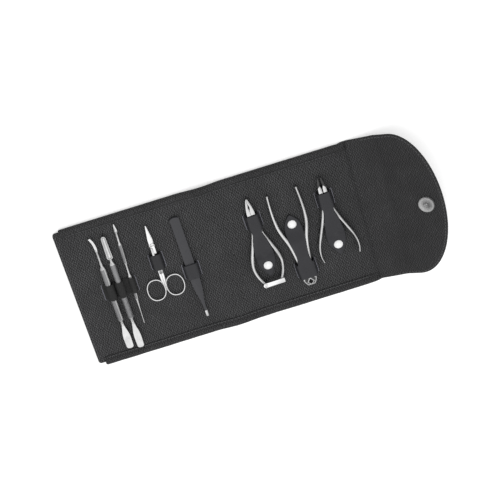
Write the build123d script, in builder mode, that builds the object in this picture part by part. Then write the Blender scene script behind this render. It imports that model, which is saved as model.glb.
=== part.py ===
"""Manicure set case: a leather wallet laid open, with three nippers and five hand tools in their loops.

Frame: X runs along the open case (the snap flap is at -X), Y across it and Z up, in millimetres.
The origin is the middle of the case on the surface that it lies on.
"""

import os
from dataclasses import dataclass
from math import asin, atan2, cos, degrees, radians, sin, sqrt

from build123d import *

os.makedirs("parts", exist_ok=True)

# ---------------------------------------------------------------- driving dimensions
# Leather, from the outside in
outer_leather = 1.2
board = 1.5
lining = 1.0
hinge_height = 0.6
fold_gap = 0.3
# Panels, along X
spine_width = 24.0
middle_length = 144.9
tool_panel_shortfall = 12.6
flap_length = 56.5
flap_rounding = 42.0
# Panels, across Y
panel_width = 154.4
flap_overhang = 3.0
corner_radius = 3.0
# Rest slope of the flap's spine, and of the flap against its spine
flap_spine_rise = 14.0
flap_rise = 14.0
# Edge rims
rim_overhang = 3.0
rim_width = 9.4
rim_height = 3.3
rim_skirt = 2.8
rim_inner_round = 2.4
rim_outer_round = 3.2
rim_end_inset = 7.0
rim_flap_inset = 2.0
# Loops, bands and slits
strap_leather = 1.2
loop_leather = 1.0
elastic = 0.8
slit_clearance = 0.2
rest_gap = 0.3
loop_gap = 0.3
arch_rise = 0.5
arch_foot_round = 2.2
arch_shoulder_round = 2.4
# Snap fasteners on the straps
stud_flange_radius = 3.6
stud_flange = 0.8
stud_radius = 2.2
stud_height = 2.3
stud_top_clearance = 0.3
cap_radius = 4.5
cap_height = 2.3
cap_rim = 0.5
cap_steps = 3
cap_wall = 0.7
socket_clearance = 0.2
strap_hole_clearance = 0.1
# Magnetic snap
magnet_radius = 9.0
magnet_height = 2.4
magnet_wall = 0.5
magnet_from_tip = 18.4
dimple_radius = 3.4
dimple_depth = 1.8
male_plate = 0.8
male_stud_radius = 2.8
male_stud_height = 1.6
recess_clearance = 1.0
closed_flap_gap = 0.8
# Nippers
nipper_depth = 6.8
lap_gap = 0.1
lap_clearance = 0.3
jaw_gap = 0.1
pin_clearance = 0.05
handle_depth = 5.2
handle_chamfer = 0.8
handle_steps = 4
jaw_bulge = 0.4
leaf_depth = 3.6
leaf_thickness = 0.6
leaf_standoff = 1.0
leaf_start = 3.5
leaf_spacing = 0.8
leaf_foot_length = 3.0
leaf_foot_depth = 2.4
leaf_foot_seat = 0.4
strap_drop = 9.0
strap_bend = 3.0
strap_snap_margin = 1.1
strap_apex_round = 1.2
# Clasp of the first nipper
clasp_thickness = 1.4
clasp_width = 4.8
clasp_eye_radius = 2.6
clasp_pin_radius = 0.9
clasp_lift = 0.2
clasp_corner = 0.8
clasp_nose_depth = 2.6
clasp_head_radius = 1.7
clasp_head = 0.6
pin_head_gap = 0.05
clasp_nose = 1.2
clasp_nose_gap = 0.8
# Scissors
blade_thickness = 1.75
blade_length = 22.6
blade_width = 4.7
shank_width = 2.2
ring_offset = 10.2
ring_distance = 50.3
ring_half_width = 8.4
ring_half_length = 11.6
ring_end_radius = 6.6
ring_wire = 2.2
ring_chamfer = 0.6
screw_radius = 1.5
screw_head = 2.1
screw_head_height = 0.6
screw_slot = 0.6
screw_slot_depth = 0.35
scissors_pivot_y = -36.3
scissors_lap_radius = 2.6
blade_overlap = 0.7
blade_shoulder = 7.0
blade_point = 0.35
shank_inset = 5.0
shank_flare = 8.0
ring_tilt = 3.5
# Tweezers
tweezer_length = 115.0
tweezer_width = 9.6
tweezer_sheet = 1.2
tweezer_tip_width = 2.4
tweezer_tip_gap = 3.2
tweezer_loop_depth = 4.5
tweezer_end_round = 1.6
tweezer_shoulder = 71.0
tweezer_tip_length = 6.5
tweezers_end_y = -57.7
tweezers_end_shift = 1.1
tweezers_lean = 1.05
# Probe, pusher and scraper: distances from the middle of the elastic
pusher_grip = (-29.3, 33.2)
scraper_grip = (-27.5, 32.6)
grip_cone = 3.4
neck_seat = 2.0
end_step = 0.15
pusher_spatula_end = 70.0
pusher_spatula_width = 7.0
scraper_spatula_end = 67.4
scraper_spatula_width = 7.4
spatula_neck = 2.6
spatula_round = 2.2
spatula_straight = 12.0
spatula_draft = 0.25
spatula_edge = 0.7
spatula_lift = 0.9
spoon_neck = 1.35
spoon_start = -35.0
spoon_end = -61.5
spoon_width = 5.6
spoon_depth = 2.0
spoon_rim = 0.7
spoon_hollow = 1.2
spoon_taper = 20.0
scraper_neck = 1.35
scraper_neck_length = 4.0
scraper_shank = 1.05
scraper_shank_end = -48.0
hook_depth = 1.1
hook_root = -46.0
hook_back = ((-1.3, -51.0), (-0.7, -57.0), (2.2, -63.6))
hook_front = ((4.0, -62.6), (1.7, -56.6), (1.1, -51.0))
probe_lower_grip = (-47.0, -26.0)
probe_upper_grip = (-10.4, 15.5)
probe_step = 3.0
probe_shank = 1.0
probe_shank_end = -62.0
probe_cone = 1.2
probe_fine = 0.45
probe_taper_end = 31.0
probe_needle_end = 44.9
pick_root = -60.0
pick = ((-1.7, -61.5), (-1.5, -64.0), (-0.3, -70.3), (0.3, -70.3), (1.1, -64.0))
# Positions on the middle panel, from its middle
middle_nippers_x = (36.6, -0.9, -37.5)
# Positions on the tool panel, from its fold
tweezers_x = 12.8
scissors_x = 42.8
probe_x = 73.7
pusher_x = 85.7
scraper_x = 96.2
elastic_x = 86.2
elastic_width = 33.4

# ---------------------------------------------------------------- sizes that follow
panel_thickness = outer_leather + board + lining
tool_panel_length = middle_length - tool_panel_shortfall
flap_width = panel_width + 2 * flap_overhang
rim_outer_width = panel_width + 2 * rim_overhang
flap_thickness = outer_leather + lining
flap_spine_width = spine_width + flap_thickness + closed_flap_gap
flap_slope = flap_spine_rise + flap_rise
flap_reach = (
    flap_spine_width * cos(radians(flap_spine_rise))
    + flap_length * cos(radians(flap_slope))
    + hinge_height * sin(radians(flap_slope))
)
open_length = tool_panel_length + spine_width + middle_length + flap_reach
tool_edge = open_length / 2
tool_fold = tool_edge - tool_panel_length
middle_fold = tool_fold - spine_width
flap_spine_fold = middle_fold - middle_length
middle_centre = (middle_fold + flap_spine_fold) / 2
bed = panel_thickness + rest_gap
scissors_depth = 2 * blade_thickness + lap_gap


def slope_plane(fold_x, fold_z, slope):
    """The side plane of a raised panel: u runs from its fold to -X and v up from its outer face."""
    along = Vector(-cos(radians(slope)), 0, sin(radians(slope)))
    inward = Vector(sin(radians(slope)), 0, cos(radians(slope)))
    origin = Vector(fold_x, 0, fold_z) - inward * hinge_height
    return Plane(origin=origin, x_dir=along, z_dir=(0, 1, 0))


flat_side = Plane.XZ
flap_spine_side = slope_plane(flap_spine_fold, hinge_height, flap_spine_rise)
flap_fold_x = flap_spine_fold - flap_spine_width * cos(radians(flap_spine_rise))
flap_fold_z = hinge_height + flap_spine_width * sin(radians(flap_spine_rise))
flap_side = slope_plane(flap_fold_x, flap_fold_z, flap_slope)


def face_plane(side, u, v):
    """A plane that lies along a panel, with its origin at u, v of the panel's side plane."""
    origin = side.from_local_coords((u, v, 0))
    return Plane(origin=origin, x_dir=side.x_dir, z_dir=side.y_dir)


def write(piece, name):
    """Label a finished piece and write its STEP file."""
    piece.part.label = name
    export_step(piece.part, f"parts/{name}.step")


# ---------------------------------------------------------------- panels
def end_points(u, inward, low_v, high_v, folded):
    """One end of a layer, from low to high. An end at a fold is mitred above the fold's axis."""
    levels = [low_v, high_v]
    if folded and low_v < hinge_height < high_v:
        levels.insert(1, hinge_height)
    points = []
    for v in levels:
        setback = fold_gap / 2 + max(0.0, v - hinge_height) if folded else 0.0
        points.append((u + inward * setback, v))
    return points


def layer_profile(side, ends, heights, folds):
    """The side view of a layer between two ends, as a sketch on the panel's side plane."""
    low = end_points(ends[0], 1, *heights, folds[0])
    high = end_points(ends[1], -1, *heights, folds[1])
    with BuildSketch(side) as profile:
        with BuildLine():
            Polyline(*low, *reversed(high), close=True)
        make_face()
    return profile.sketch


def layer(side, ends, heights, folds, width):
    """A flat layer of leather or board across the whole width."""
    with BuildPart() as sheet:
        extrude(layer_profile(side, ends, heights, folds), amount=width / 2, both=True)
    return sheet


outer_span = (0, outer_leather)
board_span = (outer_leather, outer_leather + board)
lining_span = (outer_leather + board, panel_thickness)
flap_lining_span = (outer_leather, flap_thickness)
middle_ends = (flap_spine_fold, middle_fold)
spine_ends = (middle_fold, tool_fold)
tool_ends = (tool_fold, tool_edge)


@dataclass
class Nipper:
    """A pair of nippers in its own frame: the pivot at the origin, jaws to -y and handles to +y.

    Handle points run from the pivot to the end. Strap points are half widths at their distances.
    The relief between the jaws is where it starts, is widest and ends, and its half width.
    """

    name: str
    x: float
    pivot_y: float
    lean: float
    lap_radius: float
    pin_radius: float
    jaw_half_width: float
    jaw_shoulder: float
    jaw_length: float
    jaw_tip: float
    jaw_tip_depth: float
    relief: tuple
    open_at_rest: float
    handle: tuple
    root_width: float
    end_width: float
    band_centre: float
    band_length: float
    band_foot: float
    band_shoulder: float
    strap: tuple
    strap_tail: float
    snap: float


nippers = (
    Nipper(
        name="nipper_1",
        x=middle_centre + middle_nippers_x[0],
        pivot_y=-28.0,
        lean=1.5,
        lap_radius=4.2,
        pin_radius=2.0,
        jaw_half_width=4.0,
        jaw_shoulder=11.5,
        jaw_length=26.4,
        jaw_tip=0.7,
        jaw_tip_depth=2.4,
        relief=(14.0, 17.5, 21.5, 0.8),
        open_at_rest=0.0,
        handle=((2.2, 1.0), (4.6, 14.0), (10.7, 32.0), (14.8, 50.0), (12.7, 61.5), (8.2, 71.0)),
        root_width=3.9,
        end_width=2.6,
        band_centre=-0.5,
        band_length=16.4,
        band_foot=7.7,
        band_shoulder=6.7,
        strap=((4.6, 7.7), (4.8, 12.0), (7.4, 21.0), (9.4, 34.0), (9.9, 44.0), (8.2, 53.0)),
        strap_tail=13.5,
        snap=52.1,
    ),
    Nipper(
        name="nipper_2",
        x=middle_centre + middle_nippers_x[1],
        pivot_y=38.0,
        lean=181.9,
        lap_radius=6.6,
        pin_radius=2.6,
        jaw_half_width=6.8,
        jaw_shoulder=13.0,
        jaw_length=20.4,
        jaw_tip=3.4,
        jaw_tip_depth=3.6,
        relief=(12.5, 16.5, 19.4, 2.6),
        open_at_rest=0.0,
        handle=((3.4, 1.0), (6.9, 18.0), (9.2, 32.0), (13.5, 45.0), (15.8, 62.0), (15.0, 88.4)),
        root_width=4.6,
        end_width=2.4,
        band_centre=-2.6,
        band_length=17.4,
        band_foot=10.0,
        band_shoulder=9.2,
        strap=((6.4, 6.1), (6.3, 14.0), (7.6, 26.0), (9.2, 37.0), (9.3, 44.0), (7.0, 53.0)),
        strap_tail=10.7,
        snap=50.1,
    ),
    Nipper(
        name="nipper_3",
        x=middle_centre + middle_nippers_x[2],
        pivot_y=-28.0,
        lean=0.9,
        lap_radius=4.2,
        pin_radius=2.0,
        jaw_half_width=3.8,
        jaw_shoulder=11.0,
        jaw_length=25.3,
        jaw_tip=0.7,
        jaw_tip_depth=2.4,
        relief=(14.0, 17.0, 20.5, 0.8),
        open_at_rest=5.0,
        handle=((2.2, 1.0), (4.9, 13.0), (9.3, 27.5), (12.8, 37.0), (17.4, 55.0), (15.8, 67.2)),
        root_width=3.9,
        end_width=1.9,
        band_centre=-0.5,
        band_length=17.4,
        band_foot=8.0,
        band_shoulder=7.2,
        strap=((4.9, 8.2), (5.1, 12.0), (7.4, 21.0), (9.4, 34.0), (9.9, 44.0), (8.2, 53.0)),
        strap_tail=12.7,
        snap=52.9,
    ),
)


def nipper_plane(nipper, turn=0.0, height=0.0):
    """The nipper's own plane, at a height above its underside."""
    angle = radians(nipper.lean + turn)
    origin = (nipper.x, nipper.pivot_y, bed + height)
    return Plane(origin=origin, x_dir=(cos(angle), sin(angle), 0), z_dir=(0, 0, 1))


def nipper_point(nipper, x, y):
    """A point of the nipper's frame, in the frame of the case."""
    return nipper_plane(nipper).from_local_coords((x, y, 0))


# ---------------------------------------------------------------- middle panel
write(layer(flat_side, middle_ends, outer_span, (True, True), panel_width), "middle_outer")
write(layer(flat_side, middle_ends, board_span, (True, True), panel_width), "middle_board")

with BuildPart() as middle_lining:
    profile = layer_profile(flat_side, middle_ends, lining_span, (True, True))
    extrude(profile, amount=panel_width / 2, both=True)
    for nipper in nippers:
        with BuildSketch(nipper_plane(nipper, height=-rest_gap)):
            with Locations(
                (nipper.band_foot - strap_leather / 2, nipper.band_centre),
                (strap_leather / 2 - nipper.band_foot, nipper.band_centre),
            ):
                Rectangle(strap_leather + slit_clearance, nipper.band_length + slit_clearance)
        extrude(amount=-lining, mode=Mode.SUBTRACT)
write(middle_lining, "middle_lining")


# ---------------------------------------------------------------- rims
def rim_pair(ends, folds):
    """The padded rims of one panel: they sit on the lining and wrap over the panel's two long edges."""
    inner_y = rim_outer_width / 2 - rim_width
    outer_y = rim_outer_width / 2
    edge_y = panel_width / 2
    top = panel_thickness + rim_height
    skirt = panel_thickness - rim_skirt
    length = ends[1] - ends[0]
    with BuildPart() as rims:
        with BuildSketch(Plane.YZ.offset(ends[0])) as section:
            with BuildLine():
                Polyline(
                    (inner_y, panel_thickness),
                    (inner_y, top),
                    (outer_y, top),
                    (outer_y, skirt),
                    (edge_y, skirt),
                    (edge_y, panel_thickness),
                    close=True,
                )
            make_face()
            upper = section.vertices().group_by(Axis.Y)[-1]
            fillet(upper.sort_by(Axis.X)[0], radius=rim_inner_round)
            crown = section.vertices().sort_by(Axis.X)[-2:]
            fillet(crown.sort_by(Axis.Y)[-1], radius=rim_outer_round)
        extrude(amount=length)
        mitre = layer_profile(flat_side, ends, (0, top), folds)
        extrude(mitre, amount=rim_outer_width, both=True, mode=Mode.INTERSECT)
        mirror(about=Plane.XZ)
    return rims


rim_start = flap_spine_fold + rim_flap_inset
rim_stop = tool_edge - rim_end_inset
write(rim_pair((rim_start, middle_fold), (False, True)), "middle_rims")
write(layer(flat_side, spine_ends, outer_span, (True, True), panel_width), "spine_outer")
write(layer(flat_side, spine_ends, lining_span, (True, True), panel_width), "spine_lining")
write(layer(flat_side, spine_ends, board_span, (True, True), panel_width), "spine_padding")
write(rim_pair(spine_ends, (True, True)), "spine_rims")
write(rim_pair((tool_fold, rim_stop), (True, False)), "tool_panel_rims")


@dataclass
class Loop:
    """A strap over a tool, sewn into two slits. Its shoulder and height are those of its arch."""

    name: str
    x: float
    y: float
    length: float
    foot: float
    leather: float
    shoulder: float = 0.0
    height: float = 0.0


@dataclass
class Tool:
    """A long tool that lies along Y: its place, its lean and the radius of its grip."""

    x: float
    lean: float
    grip_radius: float


tweezers_loop = Loop(
    name="tweezers_loop",
    x=tool_fold + tweezers_x,
    y=4.4,
    length=16.8,
    foot=8.3,
    shoulder=6.3,
    height=rest_gap + tweezer_loop_depth + loop_gap + loop_leather,
    leather=loop_leather,
)
scissors_loop = Loop(
    name="scissors_loop",
    x=tool_fold + scissors_x,
    y=-16.9,
    length=17.8,
    foot=7.2,
    shoulder=5.0,
    height=rest_gap + scissors_depth + pin_head_gap + screw_head_height + loop_gap + loop_leather,
    leather=loop_leather,
)
elastic_loop = Loop(
    name="elastic_loops",
    x=tool_fold + elastic_x,
    y=0.0,
    length=18.0,
    foot=elastic_width / 2,
    leather=elastic,
)
probe = Tool(x=tool_fold + probe_x, lean=-1.6, grip_radius=1.9)
pusher = Tool(x=tool_fold + pusher_x, lean=0.0, grip_radius=3.1)
scraper = Tool(x=tool_fold + scraper_x, lean=0.0, grip_radius=3.1)
clasped = nippers[0]

# ---------------------------------------------------------------- tool panel
magnet_along = flap_length - magnet_from_tip
male_x = tool_fold + middle_fold - (flap_spine_fold + magnet_along)
recess_radius = magnet_radius + recess_clearance


def tool_layer(heights, recessed):
    """A layer of the tool panel, with its two free corners rounded and the snap's recess."""
    with BuildPart() as sheet:
        profile = layer_profile(flat_side, tool_ends, heights, (True, False))
        extrude(profile, amount=panel_width / 2, both=True)
        corners = sheet.edges().filter_by(Axis.Z).group_by(Axis.X)[-1]
        fillet(corners, radius=corner_radius)
        if recessed:
            with BuildSketch(Plane.XY.offset(heights[0])):
                with Locations((male_x, 0)):
                    Circle(recess_radius)
            extrude(amount=heights[1] - heights[0], mode=Mode.SUBTRACT)
    return sheet


write(tool_layer(outer_span, True), "tool_panel_outer")
write(tool_layer(board_span, True), "tool_panel_board")

with BuildPart() as tool_panel_lining:
    add(tool_layer(lining_span, False).part)
    with BuildSketch(Plane.XY.offset(panel_thickness)):
        for loop in (tweezers_loop, scissors_loop, elastic_loop):
            with Locations(
                (loop.x - loop.foot + loop.leather / 2, loop.y),
                (loop.x + loop.foot - loop.leather / 2, loop.y),
            ):
                Rectangle(loop.leather + slit_clearance, loop.length + slit_clearance)
    extrude(amount=-lining, mode=Mode.SUBTRACT)
write(tool_panel_lining, "tool_panel_lining")


# ---------------------------------------------------------------- snap flap
def flap_layer(heights):
    """A layer of the flap: straight sides from the fold, then half an ellipse."""
    with BuildPart() as sheet:
        with BuildSketch(face_plane(flap_side, 0, heights[0])):
            straight = flap_length - flap_rounding
            with Locations((straight, 0)):
                Ellipse(flap_rounding, flap_width / 2)
            with Locations((straight / 2, 0)):
                Rectangle(straight, flap_width)
        extrude(amount=heights[1] - heights[0])
        side_view = layer_profile(flap_side, (0, flap_length), heights, (True, False))
        extrude(side_view, amount=flap_width, both=True, mode=Mode.INTERSECT)
    return sheet


spine_length = (0, flap_spine_width)
write(layer(flap_spine_side, spine_length, outer_span, (True, True), flap_width), "flap_spine_outer")
write(
    layer(flap_spine_side, spine_length, flap_lining_span, (True, True), flap_width),
    "flap_spine_lining",
)
write(flap_layer(outer_span), "flap_outer")
write(flap_layer(flap_lining_span), "flap_lining")

# ---------------------------------------------------------------- magnetic snap
magnet_seat = face_plane(flap_side, magnet_along, flap_thickness)

with BuildPart() as magnet_cover:
    with BuildSketch(magnet_seat):
        Circle(magnet_radius)
    extrude(amount=magnet_height)
    rim_edge = magnet_cover.edges().filter_by(GeomType.CIRCLE).sort_by(Axis.Z)[-1]
    chamfer(rim_edge, length=0.7 * magnet_wall)
    with BuildSketch(face_plane(flap_side, magnet_along, flap_thickness + magnet_height)):
        Circle(dimple_radius)
    extrude(amount=-dimple_depth, mode=Mode.SUBTRACT)
    with BuildSketch(magnet_seat):
        Circle(magnet_radius - magnet_wall)
        Circle(dimple_radius + magnet_wall, mode=Mode.SUBTRACT)
    extrude(amount=magnet_height - magnet_wall, mode=Mode.SUBTRACT)
write(magnet_cover, "magnet_cover")

with BuildPart() as magnet_ring:
    with BuildSketch(magnet_seat):
        Circle(magnet_radius - magnet_wall)
        Circle(dimple_radius + magnet_wall, mode=Mode.SUBTRACT)
    extrude(amount=magnet_height - magnet_wall)
write(magnet_ring, "magnet_ring")

with BuildPart() as snap_post:
    with BuildSketch(Plane.XY.offset(lining_span[0])):
        with Locations((male_x, 0)):
            Circle(magnet_radius)
    extrude(amount=-male_plate)
    with BuildSketch(Plane.XY.offset(lining_span[0] - male_plate)):
        with Locations((male_x, 0)):
            Circle(male_stud_radius)
    extrude(amount=-male_stud_height)
write(snap_post, "snap_post")


# ---------------------------------------------------------------- loops and bands
def arch_face(plane, foot, shoulder, height, leather):
    """The side view of a strap that comes up through two slits and arches over a tool."""
    with BuildSketch(plane) as face:
        for inset, mode in ((0.0, Mode.ADD), (leather, Mode.SUBTRACT)):
            side = foot - inset
            top = height - inset
            corner = shoulder - inset
            rounds = [arch_foot_round - inset, arch_shoulder_round - inset]
            with BuildLine():
                FilletPolyline(
                    (-side, -lining),
                    (-side, arch_rise),
                    (-corner, top),
                    (corner, top),
                    (side, arch_rise),
                    (side, -lining),
                    radius=rounds + rounds[::-1],
                )
                Line((side, -lining), (-side, -lining))
            make_face(mode=mode)
    return face.sketch


def band_height(nipper):
    """How high a nipper's band stands over the lining."""
    return rest_gap + nipper_depth + loop_gap + strap_leather


for nipper in nippers:
    middle = nipper_point(nipper, 0, nipper.band_centre)
    own = nipper_plane(nipper)
    across = Plane(origin=(middle.X, middle.Y, panel_thickness), x_dir=own.x_dir, z_dir=-own.y_dir)
    with BuildPart() as band:
        outline = arch_face(
            across, nipper.band_foot, nipper.band_shoulder, band_height(nipper), strap_leather
        )
        extrude(outline, amount=nipper.band_length / 2, both=True)
    write(band, f"band_{nipper.name[-1]}")

for loop in (tweezers_loop, scissors_loop):
    across = Plane(origin=(loop.x, loop.y, panel_thickness), x_dir=(1, 0, 0), z_dir=(0, -1, 0))
    with BuildPart() as band:
        outline = arch_face(across, loop.foot, loop.shoulder, loop.height, loop.leather)
        extrude(outline, amount=loop.length / 2, both=True)
    write(band, loop.name)

with BuildPart() as elastic_loops:
    across = Plane(
        origin=(elastic_loop.x, elastic_loop.y, panel_thickness), x_dir=(1, 0, 0), z_dir=(0, -1, 0)
    )
    with BuildSketch(across):
        with Locations((0, elastic / 2)):
            Rectangle(2 * elastic_loop.foot, elastic)
        for inset, mode in ((elastic, Mode.ADD), (0.0, Mode.SUBTRACT)):
            for tool in (probe, pusher, scraper):
                reach = tool.grip_radius + loop_gap + inset
                axis_height = rest_gap + tool.grip_radius
                with Locations((tool.x - elastic_loop.x, axis_height)):
                    Circle(reach, mode=mode)
                with Locations((tool.x - elastic_loop.x, axis_height / 2)):
                    Rectangle(2 * reach, axis_height, mode=mode)
        with Locations((0, -elastic)):
            Rectangle(2 * elastic_loop.foot, 2 * elastic, mode=Mode.SUBTRACT)
        end = elastic_loop.foot - elastic / 2
        with Locations((-end, -lining / 2), (end, -lining / 2)):
            Rectangle(elastic, lining)
    extrude(amount=elastic_loop.length / 2, both=True)
write(elastic_loops, "elastic_loops")

# ---------------------------------------------------------------- strap snaps
with BuildPart() as strap_studs:
    for nipper in nippers:
        seat = nipper_point(nipper, 0, nipper.snap)
        with BuildSketch(Plane(origin=(seat.X, seat.Y, panel_thickness))):
            Circle(stud_flange_radius)
        extrude(amount=stud_flange)
        with BuildSketch(Plane(origin=(seat.X, seat.Y, panel_thickness + stud_flange))):
            Circle(stud_radius)
        extrude(amount=stud_height)
write(strap_studs, "strap_studs")

socket_radius = stud_radius + socket_clearance
neck_radius = socket_radius + cap_wall
strap_low = stud_flange + rest_gap


def strap(nipper):
    """A strap's tongue: level over the handles' roots, then down to its stud between the handles."""
    start = nipper.band_centre + nipper.band_length / 2 + fold_gap
    high = band_height(nipper) - strap_leather
    low_from = nipper.snap - cap_radius - strap_snap_margin
    drop_from = low_from - strap_drop
    apex = nipper.snap + nipper.strap_tail
    own = nipper_plane(nipper)
    foot = nipper_point(nipper, 0, 0)
    side = Plane(origin=(foot.X, foot.Y, panel_thickness), x_dir=own.y_dir, z_dir=own.x_dir)
    lower = [(start, high), (drop_from, high), (low_from, strap_low), (apex, strap_low)]
    lean_shift = strap_leather * (high - strap_low) / (2 * strap_drop)
    shifts = (0.0, lean_shift, lean_shift, 0.0)
    upper = [(u + shift, v + strap_leather) for (u, v), shift in zip(lower, shifts)]
    sides = [(width, along) for width, along in nipper.strap[1:]]
    first = (nipper.strap[0][0], start)
    last = (strap_apex_round, apex - strap_apex_round / 2)
    with BuildPart() as tongue:
        with BuildSketch(nipper_plane(nipper)):
            with BuildLine():
                Spline(first, *sides, last)
                ThreePointArc(last, (0, apex), (-last[0], last[1]))
                Spline((-first[0], start), *[(-x, y) for x, y in sides], (-last[0], last[1]))
                Line((-first[0], start), first)
            make_face()
        extrude(amount=band_height(nipper), both=True)
        with BuildSketch(side):
            with BuildLine():
                FilletPolyline(*lower, radius=strap_bend)
                Line(lower[-1], upper[-1])
                FilletPolyline(*reversed(upper), radius=strap_bend)
                Line(upper[0], lower[0])
            make_face()
        extrude(amount=nipper.lap_radius + cap_radius + apex, both=True, mode=Mode.INTERSECT)
        with BuildSketch(nipper_plane(nipper)):
            with Locations((0, nipper.snap)):
                Circle(neck_radius + strap_hole_clearance)
        extrude(amount=cap_radius, both=True, mode=Mode.SUBTRACT)
    return tongue


def snap_cap(nipper):
    """A domed cap on the strap, with its socket over the stud."""
    seat = nipper_point(nipper, 0, nipper.snap)
    side = Plane(origin=(seat.X, seat.Y, panel_thickness), x_dir=(1, 0, 0), z_dir=(0, -1, 0))
    cap_base = strap_low + strap_leather
    socket_top = stud_flange + stud_height + stud_top_clearance
    top = cap_base + cap_height
    crown = cap_height - cap_rim
    sphere = (cap_radius**2 + crown**2) / (2 * crown)
    spread = asin(cap_radius / sphere)
    dome = []
    for step in range(cap_steps):
        angle = spread * (step + 0.5) / (cap_steps - 0.5)
        dome.append((sphere * sin(angle), top - sphere * (1 - cos(angle))))
    with BuildPart() as cap:
        with BuildSketch(side):
            with BuildLine():
                Polyline(
                    (0, top),
                    (0, socket_top),
                    (socket_radius, socket_top),
                    (socket_radius, strap_low),
                    (neck_radius, strap_low),
                    (neck_radius, cap_base),
                    (cap_radius, cap_base),
                    *dome[::-1],
                    close=True,
                )
            make_face()
        revolve(axis=Axis((seat.X, seat.Y, 0), (0, 0, 1)))
    return cap


for nipper in nippers:
    write(strap(nipper), f"strap_{nipper.name[-1]}")
    write(snap_cap(nipper), f"snap_cap_{nipper.name[-1]}")


# ---------------------------------------------------------------- outlines
def mirrored(points, hand):
    """Points of a right-hand outline, given to one hand or the other."""
    return [(hand * x, y) for x, y in points]


def arc_spans(points, tangents):
    """Pairs of arcs, tangent where they meet, from each point to the next: (start, end, tangent)."""
    spans = []
    for (start, along), (end, onward) in zip(zip(points, tangents), zip(points[1:], tangents[1:])):
        start, end = Vector(*start), Vector(*end)
        along, onward = Vector(*along).normalized(), Vector(*onward).normalized()
        chord = end - start
        both = chord.dot(along + onward)
        turn = 2 * (1 - along.dot(onward))
        square = chord.dot(chord)
        reach = square / (2 * both) if turn < 1e-9 else (sqrt(both**2 + turn * square) - both) / turn
        near = start + along * reach
        far = end - onward * reach
        middle = (near + far) * 0.5
        spans.append((start, middle, along))
        spans.append((middle, end, far - near))
    return spans


# ---------------------------------------------------------------- nippers


def half_plane(nipper, hand, height=0.0):
    """The plane of one half, which is turned about the pivot where the jaws stand open at rest."""
    return nipper_plane(nipper, turn=-hand * nipper.open_at_rest / 2, height=height)


def handle_edges(nipper, hand):
    """The outer and inner edges of a handle as arcs, square to its centre line, and its tip."""
    with BuildLine(mode=Mode.PRIVATE) as centre:
        Spline(*nipper.handle)
    line = centre.line
    outer, inner, tangents = [], [], []
    for step in range(handle_steps + 1):
        t = step / handle_steps
        at = line @ t
        along = line % t
        half = (nipper.root_width + (nipper.end_width - nipper.root_width) * t) / 2
        outer.append((at.X + along.Y * half, at.Y - along.X * half))
        inner.append((at.X - along.Y * half, at.Y + along.X * half))
        tangents.append((along.X, along.Y))
    tip = line @ 1 + (line % 1) * (nipper.end_width / 2)
    edges = [arc_spans(mirrored(side, hand), mirrored(tangents, hand)) for side in (outer, inner)]
    return edges[0], edges[1], (hand * tip.X, tip.Y)


def nipper_jaw(nipper, hand):
    """A jaw: flat sided to its shoulder, then tapered to the tip in plan and in depth."""
    gap = jaw_gap / 2
    start, widest, stop, depth = nipper.relief
    inner = [(-gap, 0), (-gap, -start), (-gap - depth, -widest), (-gap, -stop), (-gap, -nipper.jaw_length)]
    tip = (-gap - nipper.jaw_tip, -nipper.jaw_length)
    shoulder = (-nipper.jaw_half_width, -nipper.jaw_shoulder)
    bulge = (
        (tip[0] + shoulder[0]) / 2 - jaw_bulge,
        (tip[1] + shoulder[1]) / 2 - jaw_bulge,
    )
    root = (-nipper.jaw_half_width, 0)
    inner, (tip, bulge, shoulder, root) = (
        mirrored(inner, hand),
        mirrored((tip, bulge, shoulder, root), hand),
    )
    slope = (nipper_depth - nipper.jaw_tip_depth) / 2
    own = half_plane(nipper, hand)
    side = Plane(origin=own.origin, x_dir=-own.y_dir, z_dir=-own.x_dir)
    with BuildPart() as jaw:
        with BuildSketch(own):
            with BuildLine():
                Polyline(*inner, tip)
                ThreePointArc(tip, bulge, shoulder)
                Polyline(shoulder, root, inner[0])
            make_face()
        extrude(amount=nipper_depth)
        with BuildSketch(side):
            with BuildLine():
                Polyline(
                    (0, 0),
                    (nipper.jaw_shoulder, 0),
                    (nipper.jaw_length, slope),
                    (nipper.jaw_length, nipper_depth - slope),
                    (nipper.jaw_shoulder, nipper_depth),
                    (0, nipper_depth),
                    close=True,
                )
            make_face()
        extrude(amount=2 * nipper.jaw_half_width, both=True, mode=Mode.INTERSECT)
    return jaw.part


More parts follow.
